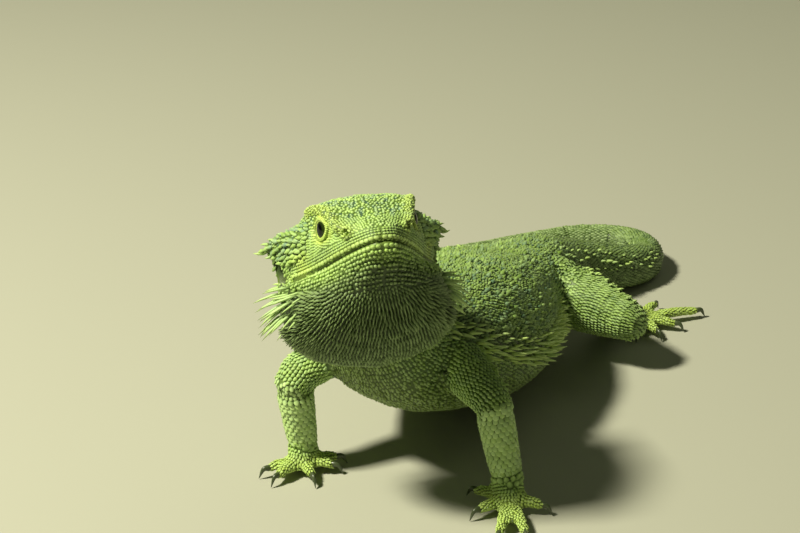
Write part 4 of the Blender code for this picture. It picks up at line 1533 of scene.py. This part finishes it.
# %% Temple plates and rows of the cheek
head_points = skin_owner == "head"
temple = sow_region(random_places(9000, head_points), "temple", 1.3)
make_coat("temple_plates", BLADE, *temple, (2.5, 1.5, 0.75), "head_skin", tilt=0.3, jitter=0.1,
          olive_kept=0.5)
cheek = sow_region(rows_round_snout(HEAD_MIDDLE, SNOUT_POLE, 1.0, 0.8, 2.2), "cheek", 0.68)
make_coat("cheek_scales", PLATE, *cheek, (1.3, 0.84, 0.3), "head_skin", tilt=0.06, jitter=0.07, soft=0.25)


# %% Small pebbles of the brow's roll, uneven ones of the crown
def on_brow(places):
    """True on the roll over each eye."""
    return line_distance(folded(to_head(places)), BROW) < 1.8


brow = sow_region(random_places(20000, head_points), on_brow, 0.62)
make_coat("brow_pebbles", PEBBLE, *brow, (0.8, 0.72, 0.2), "head_skin", tilt=0.05, jitter=0.1, smooth=True,
          gild=0.75, soft=0.55)
crown = sow_region(random_places(26000, head_points), "crown", 0.9)
make_coat("crown_pebbles", PEBBLE, *crown, (1.2, 1.08, 0.36), "head_skin", tilt=0.1, jitter=0.14,
          smooth=True, soft=0.3)


# %% [markdown]
# ## The beard
# The beard is a pouch that hangs below the jaw. Its scales run in rows away from the chin,
# short at the top, long and pointed across its middle, short again at its foot. At its sides
# they grow into real spines, the longest at the corners of the jaw.

# %% Make a piece of spines
def spine_piece(name, slot, thickness, places, normals, lengths, ways, **looks):
    """Spines of given lengths that point in given ways. A longer one is thicker, but less so
    than it is longer."""
    normals, lengths, ways = (np.asarray(table, dtype=float) for table in (normals, lengths, ways))
    ways = unit(ways)
    flat = flattened(ways, normals)
    tilt = np.arctan2((ways * normals).sum(axis=1), np.linalg.norm(flat, axis=1))
    widths = 2.0 * thickness * np.sqrt(lengths)
    sizes = np.column_stack([1.25 * lengths, widths, widths])
    make_coat(name, SPINE_CONE, np.asarray(places), normals, sizes, slot, tilt=tilt, sink=0.15, jitter=0.07,
              lie=flat, smooth=True, **looks)


# %% Spines of the temple and behind the ear
HEAD_SPINES = (  # behind, height and length in mm, then how far each points back and up
    (43.2, 6.0, 3.4, 0.2, 0.0), (42.6, 7.2, 2.4, 0.4, 0.25), (42.0, 4.6, 2.2, 0.3, -0.2),
    (40.4, 8.2, 2.4, 0.5, 0.35), (38.6, 9.2, 2.2, 0.6, 0.4), (45.2, 7.2, 2.6, 0.6, 0.35),
    (46.4, 3.2, 3.0, 0.6, 0.0), (46.0, 0.4, 2.6, 0.5, 0.0), (46.4, -3.4, 3.6, 0.35, 0.0),
    (45.8, -6.2, 5.8, 0.25, -0.05), (47.0, -1.4, 2.8, 0.5, 0.1), (44.0, -9.4, 4.2, 0.3, -0.15))


def head_spines():
    """Places, normals, lengths and ways of the set spines, on both sides."""
    spines = []
    for behind, height, length, back, up in HEAD_SPINES:
        for sign in (1, -1):
            place, normal = (np.array(v) for v in cast_out(on_head(behind, 0.0, height), sign * LEFT))
            sow(tuple(place), 1.3)
            spines.append((place, normal, length, sign * LEFT - back * FORWARD + up * UP))
    return zip(*spines)


spine_piece("head_spines", "head_skin", 0.4, *head_spines(), olive_kept=0.3, paler=1.0)


# %% Spines of the beard
BEARD_POLE = (0, 0, -9)


def beard_side(places):
    """True on the sides of the beard, below and behind the corner of the mouth."""
    behind, side, height, mouth = head_measures(places)
    return (side > 18) & (behind > 27) & (behind < 46) & (height < -8.5) & (height > -19) & (mouth < 0)


def beard_spines():
    """Places, normals, lengths and ways of the spines, longer towards the jaw's corner."""
    places, normals = sow_region(rows_round_snout(HEAD_MIDDLE, BEARD_POLE, 2.2, 2.2, 2.3), beard_side, 2.15)
    behind, side, height, _ = head_measures(places)
    share = ramp(side, 18.0, 25.0) * ramp(behind, 25.0, 34.0)
    lengths = 2.6 + 6.2 * share * (0.55 + 0.5 * chance.random(len(places)))
    sign = np.sign(to_head(places)[:, 1])[:, None]
    down = (0.1 + 0.75 * ramp(-height, 8.0, 18.0))[:, None]
    ways = sign * LEFT - FORWARD * 0.3 - down * UP + 0.08 * chance.standard_normal((len(places), 3))
    return places, normals, lengths, ways


spine_piece("beard_spines", "beard_skin", 0.2, *beard_spines(), olive_kept=0.1, paler=1.7)

# %% Rows of the beard
BELOW = (math.pi, math.tau)  # the lower half turn round the snout
beard_rows = rows_round_snout(HEAD_MIDDLE, BEARD_POLE, 1.3, 1.0, 2.6, BELOW)
beard_places, beard_normals = sow_region(beard_rows, "beard", 0.86)
beard_behind, beard_out, beard_up = to_head(beard_places).T
beard_band = fade(beard_up + 20.5, 7.5) * ramp(beard_behind, 8.0, 14.0)
beard_edge = ramp(np.abs(beard_out), 14.0, 22.0)
beard_sizes = np.column_stack([1.4 + 1.9 * beard_band + 1.0 * beard_edge, 0.95 - 0.2 * beard_band,
                               0.6 + 0.15 * beard_band])
make_coat("beard_scales", BLADE, beard_places, beard_normals, beard_sizes, "beard_skin",
          tilt=0.16 + 0.26 * beard_band, jitter=0.06)

# %% [markdown]
# ## Trunk and tail
# The back carries keeled scales of mixed sizes with larger thorny ones scattered among them.
# The flanks end in a brush of spines. The belly's scales are smaller and smoother. Down the
# tail the rows get finer and the keels sharper.

# %% Flank spines
FLANK_ROWS = ((4.4, 2.6, 2.6), (2.2, 3.6, 2.5), (0.0, 4.4, 2.4), (-2.2, 4.8, 2.4), (-4.2, 4.2, 2.5))
STATION = 14.0  # mm, roughly the distance from one station of the trunk to the next


def flank_spines():
    """Places, normals, lengths and ways of the fringe. Each row of FLANK_ROWS has its height
    over the fringe's line, its longest spine and its pitch, in mm."""
    spines = []
    for row, (lift, longest, pitch) in enumerate(FLANK_ROWS):
        for sign in (1, -1):
            for station in np.arange(2.0 + 0.06 * row, 9.3, pitch / STATION):
                step = step_at(station)
                outward = aside_at(step, sign)
                level = np.interp(station, FRINGE_AT, FRINGE_UP) + lift + 0.5 * chance.standard_normal()
                hit = cast_out(SPINE_LINE[step] + level * UPRIGHT + 3.0 * outward, outward)
                if not hit:
                    continue
                place = np.array(hit[0])
                if owners_of([place])[0] not in TRUNK_PARTS or not has_room(tuple(place), 1.95):
                    continue
                sow(tuple(place), 1.3)
                swell = math.sin(math.pi * min(1.0, max(0.0, (station - 0.6) / 8.9))) ** 0.6
                length = longest * (0.4 + 0.6 * swell) * (0.8 + 0.35 * chance.random())
                way = 0.95 * outward + 0.55 * SPINE_WAY[step] + (0.3 - 0.1 * row) * UPRIGHT
                spines.append((place, np.array(hit[1]), length, way + 0.13 * chance.standard_normal(3)))
    return zip(*spines)


spine_piece("flank_spines", "body_skin", 0.34, *flank_spines(), gild=0.85, olive_kept=0.0, paler=2.3)


# %% Thorns in rows
TAIL_THORNS = ((0.2, 1.7), (0.5, 2.2), (0.8, 1.6))  # lift as an angle, and length in mm, of each row
LIMB_THORNS = {  # the way that is back from the limb, and each row's turn towards it from upright
    "arm": ((0.3, 1.0, 0.0), (0.8, 1.15)),
    "leg": ((0.0, 1.0, 0.0), (0.3, 0.65, 1.0))}
thorns = []


def add_thorn(start, out, way, length, spacing):
    """Cast one thorn outwards, and keep it seven times in ten if there is room for it."""
    hit = cast_out(start + 0.5 * chance.standard_normal(3), out)
    if hit and chance.random() < 0.7 and has_room(tuple(hit[0]), spacing):
        sow(tuple(hit[0]), 1.0)
        length *= 0.75 + 0.5 * chance.random()
        thorns.append((np.array(hit[0]), np.array(hit[1]), length, out + way))


for thorn_sign in (1, -1):
    for lift, row_length in TAIL_THORNS:
        for thorn_step in map(step_at, np.arange(10.4, 15.0, 0.15)):
            out = math.cos(lift) * aside_at(thorn_step, thorn_sign) + math.sin(lift) * UPRIGHT
            add_thorn(SPINE_LINE[thorn_step], out, 0.6 * SPINE_WAY[thorn_step], row_length, 3.0)
for limb, joints in LIMBS.items():
    bone = unit(joints[1] - joints[0])
    backward, turns = LIMB_THORNS[limb[:3]]
    for turn in turns:
        out = math.cos(turn) * UPRIGHT + math.sin(turn) * np.array(backward)
        out = unit(out - (out @ bone) * bone)
        for share in np.arange(0.3, 1.02, 0.06):
            add_thorn(joints[0] + share * (joints[1] - joints[0]), out, 1.2 * bone, 1.9, 1.6)
spine_piece("thorn_rows", "limb_skin", 0.42, *zip(*thorns), gild=0.2, olive_kept=0.4, paler=0.4)


# %% Rows over the trunk
def sow_parts(owners, candidates, spacing):
    """Keep the candidates on these solids that have room."""
    places, normals = candidates
    fits = np.isin(owners_of(places), owners)
    return with_room(spacing, places[fits], normals[fits])


def astray(places, normals, far):
    """Places moved at random along the skin, by about so many mm."""
    return places + flattened(far * chance.standard_normal(places.shape), normals)


def coat_trunk(name, owners, candidates, spacing=0.98):
    """Keeled scales over part of the trunk, with thorny ones scattered over the back."""
    places, normals = sow_parts(owners, candidates, spacing)
    places = astray(places, normals, 0.17)
    height = places[:, 2] - SPINE_LINE[nearest_on_spine(places)][:, 2]
    back = ramp(height, -6.0, 6.0)
    thorny = chance.random(len(places)) < 0.05 * ramp(height, 0.0, 8.0)
    size = 0.85 + 0.35 * chance.random(len(places)) ** 2
    sizes = np.column_stack([(1.6 + 0.15 * back) * size, (1.16 + 0.06 * back) * size,
                             0.42 + 0.2 * back * size])
    make_coat(name + "_scales", KEELED, places[~thorny], normals[~thorny], sizes[~thorny], "body_skin",
              tilt=0.1 + 0.14 * back[~thorny])
    sizes[thorny] *= (1.35, 1.2, 2.0)
    make_coat(name + "_thorns", KEELED, places[thorny], normals[thorny], sizes[thorny], "body_skin",
              tilt=0.42)


trunk_steps = np.flatnonzero(SPINE_STEPS <= BODY_END)
neck_share = np.maximum(0.0, 1 - 0.5 * SPINE_STEPS[trunk_steps])[:, None]  # the head's up gives way
trunk_rows = rows_along(SPINE_LINE[trunk_steps], neck_share * UP + (1 - neck_share) * UPRIGHT, 1.15, 1.2)
coat_trunk("shoulder", ("neck", "chest"), trunk_rows)
coat_trunk("barrel", ("belly", "hips"), trunk_rows)


# %% Rows down the tail
TAIL_COATS = (  # name, first and last station, solids, pitch in mm
    ("tail_root_scales", 10.6, 13.5, ("hips", "tail_1", "tail_2"), 1.25),
    ("tail_middle_scales", 13.3, 18.5, ("tail_2", "tail_3", "tail_4"), 1.25),
    ("tail_end_scales", 18.3, 23.0, ("tail_4", "tail_5", "tail_6"), 1.1),
    ("tail_tip_scales", 22.8, 27.0, ("tail_6",), 0.95))
for coat_name, first, last, owners, pitch in TAIL_COATS:
    tail_line = SPINE_LINE[(SPINE_STEPS >= first) & (SPINE_STEPS <= last)]
    tail_rows = rows_along(tail_line, np.tile(UPRIGHT, (len(tail_line), 1)), pitch, pitch)
    places, normals = sow_parts(owners, tail_rows, 0.82 * pitch)
    lengths = pitch * (1.65 + 0.2 * chance.random(len(places)))
    widths, heights = np.full((2, len(places)), pitch) * [[1.12], [0.38]]
    coat_sizes = np.column_stack([lengths, widths, heights])
    make_coat(coat_name, KEELED, places, normals, coat_sizes, "tail_skin", tilt=0.13)

# %% [markdown]
# ## Legs and feet
# Arms and legs wear the boldest scales on the animal: broad, pointed and overlapping like
# roof tiles. Under each edge runs a dark line, partly the shadow of the raised edge and partly
# painted shade at the foot of the next scale. They end at the wrist and ankle in fine,
# bead-like scales that run out along the digits.

# %% Rows down the limbs
LIMB_COATS = {  # shape, pitch along and across in mm, then length, width and height in pitches
    "upper_arm": (KEELED, 1.25, 1.4, (1.6, 1.04, 0.34)),
    "forearm": (TILE, 1.5, 1.9, (1.65, 1.08, 0.24)),
    "thigh": (KEELED, 1.35, 1.15, (2.1, 0.86, 0.42)),
    "shank": (KEELED, 1.25, 1.2, (2.1, 0.86, 0.42))}
RING_UP = {"arm": (0.9, 0.42, 0.1), "leg": (0.31, 0.9, 0.31)}
PAST_JOINT = 5.0   # mm, rings start and end so far beyond the joints
WRIST_UP = 9.0     # mm, a paw wears its limb's scales above this height


def coat_limb(kind, side):
    """Scales down one length of a limb, in rings square to its own straight line."""
    shape, pitch_along, pitch_across, (long, wide, thick) = LIMB_COATS[kind]
    name, length = limb_of(kind + "_" + side)
    root, tip = LIMBS[name][length:length + 2]
    beyond = PAST_JOINT * unit(tip - root)
    path = np.linspace(root - beyond, tip + beyond, 30)
    places, normals = rows_along(path, np.tile(RING_UP[name[:3]], (len(path), 1)), pitch_along, pitch_across)
    owners = owners_of(places)
    fits = owners == kind + "_" + side
    if length == 1:
        fits |= is_kind(owners, *PAWS) & (places[:, 2] > WRIST_UP)
    places, normals = places[fits], normals[fits]
    spacing = 0.78 * min(pitch_along, pitch_across)
    places, normals = with_room(spacing, astray(places, normals, 0.05), normals)
    size = 0.97 + 0.12 * chance.random(len(places))
    sizes = size[:, None] * [long * pitch_along, wide * pitch_across, thick * pitch_across]
    make_coat(kind + "_" + side + "_scales", shape, places, normals, sizes, "limb_skin", tilt=0.2,
              jitter=0.04)


for limb_side in SIDES:
    for limb_kind in LIMB_COATS:
        coat_limb(limb_kind, limb_side)


# %% Where the digits run
CLAW_LENGTH = 3.5  # mm, level distance from a digit's end to its claw's tip


def digits_of(paw):
    """For each digit of a paw: its level direction and how far from the pad its claw reaches."""
    pad = PADS[paw][:2]
    plans = []
    for k in range(1, 6):
        horn = as_arrays(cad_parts["claw_%s_%d" % (paw, k)].data)[0][:, :2]
        tip = horn[np.linalg.norm(horn - pad, axis=1).argmax()]
        plans.append((unit(tip - pad), float(np.linalg.norm(tip - pad))))
    return plans


# %% Plates of the digits
def paw_paths(paw):
    """A line down each digit, then one from the wrist or ankle to the pad. Each comes with how
    far from it its scales lie, in mm, and the way that is up round it."""
    paths = []
    for ahead, reach in digits_of(paw):
        stop = reach - CLAW_LENGTH + 0.4
        away = np.linspace(0.3 * reach, stop, 20)
        heights = np.interp(away, (0.0, 0.5 * reach, stop), (3.0, 4.1, 3.4))
        paths.append((np.column_stack([PADS[paw][:2] + away[:, None] * ahead, heights]), 3.6, UPRIGHT))
    joint = LIMBS[limb_of(paw)[0]][2]
    paths.append((np.linspace(joint, [*PADS[paw][:2], 3.0], 12), 7.0, (0.3, 1.0, 0.0)))
    return paths


def coat_digits(paw, pitch=0.95):
    """Overlapping plates in rings down each digit and round the wrist or ankle."""
    rows = []
    for path, near, up in paw_paths(paw):
        spots, facing = rows_along(path, np.tile(up, (len(path), 1)), pitch, pitch)
        fits = (line_distance(spots, path) < near) & (owners_of(spots) == paw)
        fits &= (facing[:, 2] > -0.6) | (spots[:, 2] > 1.2)  # the sole stays bare
        rows.append(with_room(0.8 * pitch, spots[fits], facing[fits]))
    make_coat(paw + "_plates", PLATE, *stacked(rows), (1.6 * pitch, 1.12 * pitch, 0.45 * pitch), "limb_skin",
              tilt=0.2, jitter=0.06)


for paw_name in PADS:
    coat_digits(paw_name)

# %% [markdown]
# ## Claws
# A claw is a cone of horn that grows round a bone, curved downwards and worn smooth and
# shiny by walking. Each is a row of rings along a curve from inside the digit to the floor,
# narrower at each step. Horn is the scales' keratin, only dense and dark, with faint streaks
# along it. The five claws of a paw are one mesh, because they never move apart.

# %% The claws' horn
PAW_SPREAD, HORN_STREAK = 28.0, 0.02  # mm, across the five claws of a paw, and across a streak


def make_claw_horn():
    """Dark horn, polished by wear: a clear highlight over faint streaks."""
    made, shader = new_material("claw_horn", IOR=1.55, Roughness=0.3)
    tree = made.node_tree
    # The real streaks are too fine to be seen one by one, and only mix the two colours.
    streaks = add_node(tree, "ShaderNodeTexNoise", Scale_in=PAW_SPREAD / HORN_STREAK, Detail_in=2.0)
    mixed = add_node(tree, "ShaderNodeMix", data_type="RGBA", links=[(streaks.outputs["Fac"], 0)],
                     numbered=[(6, hex_colour("20261A")), (7, hex_colour("5C6A44"))])
    tree.links.new(mixed.outputs[2], shader.inputs["Base Color"])
    return made


claw_horn = make_claw_horn()
print(claw_horn.name, "nodes:", len(claw_horn.node_tree.nodes))


# %% Make the claws
def claw_loops(shell, pad, ahead, reach, rings=10, sides=12):
    """Rings of corners of one claw in a bmesh, from inside the digit to the tip."""
    # Along the digit, height and radius in mm, of four places down the claw's middle.
    root = reach - CLAW_LENGTH
    plan = np.array([(root - 2.0, 3.2, 0.75), (root, 3.5, 1.05), (root + 1.9, 3.3, 0.8), (reach, 0.35, 0.1)])
    line = np.array([curve_point(plan, t) for t in np.linspace(0, 3, rings)])
    places = np.column_stack([pad + line[:, :1] * ahead, line[:, 1]])
    ways = unit(np.gradient(places, axis=0))
    aside = np.array([-ahead[1], ahead[0], 0.0])
    loops = []
    for place, way, radius in zip(places, ways, line[:, 2]):
        upward = np.cross(way, aside)
        ring = [place + radius * (0.8 * math.cos(a) * aside + math.sin(a) * upward)
                for a in np.arange(sides) * math.tau / sides]
        loops.append([shell.verts.new(corner * MM) for corner in ring])
    return loops


def make_claws(paw):
    """The five claws of one paw, rooted inside the digits and arching down to the floor."""
    shell = bmesh.new()
    for ahead, reach in digits_of(paw):
        loops = claw_loops(shell, PADS[paw][:2], ahead, reach)
        for near, far in zip(loops[:-1], loops[1:]):
            for c in range(len(near)):
                shell.faces.new((near[c - 1], near[c], far[c], far[c - 1]))
        shell.faces.new(loops[0][::-1])
        shell.faces.new(loops[-1])
    bmesh.ops.recalc_face_normals(shell, faces=shell.faces)
    mesh = bpy.data.meshes.new("claws_" + paw)
    shell.to_mesh(mesh)
    shell.free()
    mesh.shade_smooth()
    mesh.materials.append(claw_horn)
    claws = stand("claws_" + paw, mesh)
    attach(claws, "root")
    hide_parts(*["claw_%s_%d" % (paw, k) for k in range(1, 6)])
    print(claws.name, "faces:", len(mesh.polygons))


for paw_name in PADS:
    make_claws(paw_name)

# %% [markdown]
# ## The last gaps
# Rows can't reach everywhere: the soles, the armpits and the seams between two patches stay
# bare. Many thousands of random places are tried there, and the few that still have room get
# a small scale. Hands and feet get theirs as pieces of their own.

# %% Fill the gaps
FILL = {"head": 0.8, "lower_jaw": 0.8, "beard": 0.9, "neck": 0.95, "chest": 0.95, "belly": 0.95,
        "hips": 0.95, "tail": 0.95, "upper": 1.0, "forearm": 1.05, "thigh": 1.0, "shank": 1.0,
        "hand": 0.75, "foot": 0.75}  # mm, the room that a scale takes on each kind of part


def fill_gaps(name, kinds, tries, shape, size, slot, tilt, smooth=False):
    """Sow random places wherever these parts of the skin still have room."""
    places, normals = random_places(tries, is_kind(skin_owner, *kinds))
    spacing = np.array([FILL[kind_of(owner)] for owner in owners_of(places)])
    fits = ~bare_spot(places)
    places, normals, spacing = with_room(spacing[fits], places[fits], normals[fits], spacing[fits])
    sizes = spacing[:, None] * np.array(size)
    make_coat(name, shape, places, normals, sizes, slot, tilt=tilt, smooth=smooth)


fill_gaps("hand_scales", ("hand",), 14000, PLATE, (1.5, 1.15, 0.4), "limb_skin", 0.08)
fill_gaps("foot_scales", ("foot",), 14000, PLATE, (1.5, 1.15, 0.4), "limb_skin", 0.08)
fill_gaps("head_fill", HEAD_PARTS, 16000, PEBBLE, (1.25, 1.15, 0.42), "head_skin", 0.06, smooth=True)
fill_gaps("body_fill", (*TRUNK_PARTS, "tail"), 50000, PLATE, (1.6, 1.3, 0.45), "body_skin", 0.06)
fill_gaps("limb_fill", LIMB_KINDS, 24000, TILE, (1.6, 1.25, 0.4), "limb_skin", 0.08)
print("coat triangles in all:", sum(coat_triangles), "largest piece:", max(coat_triangles))
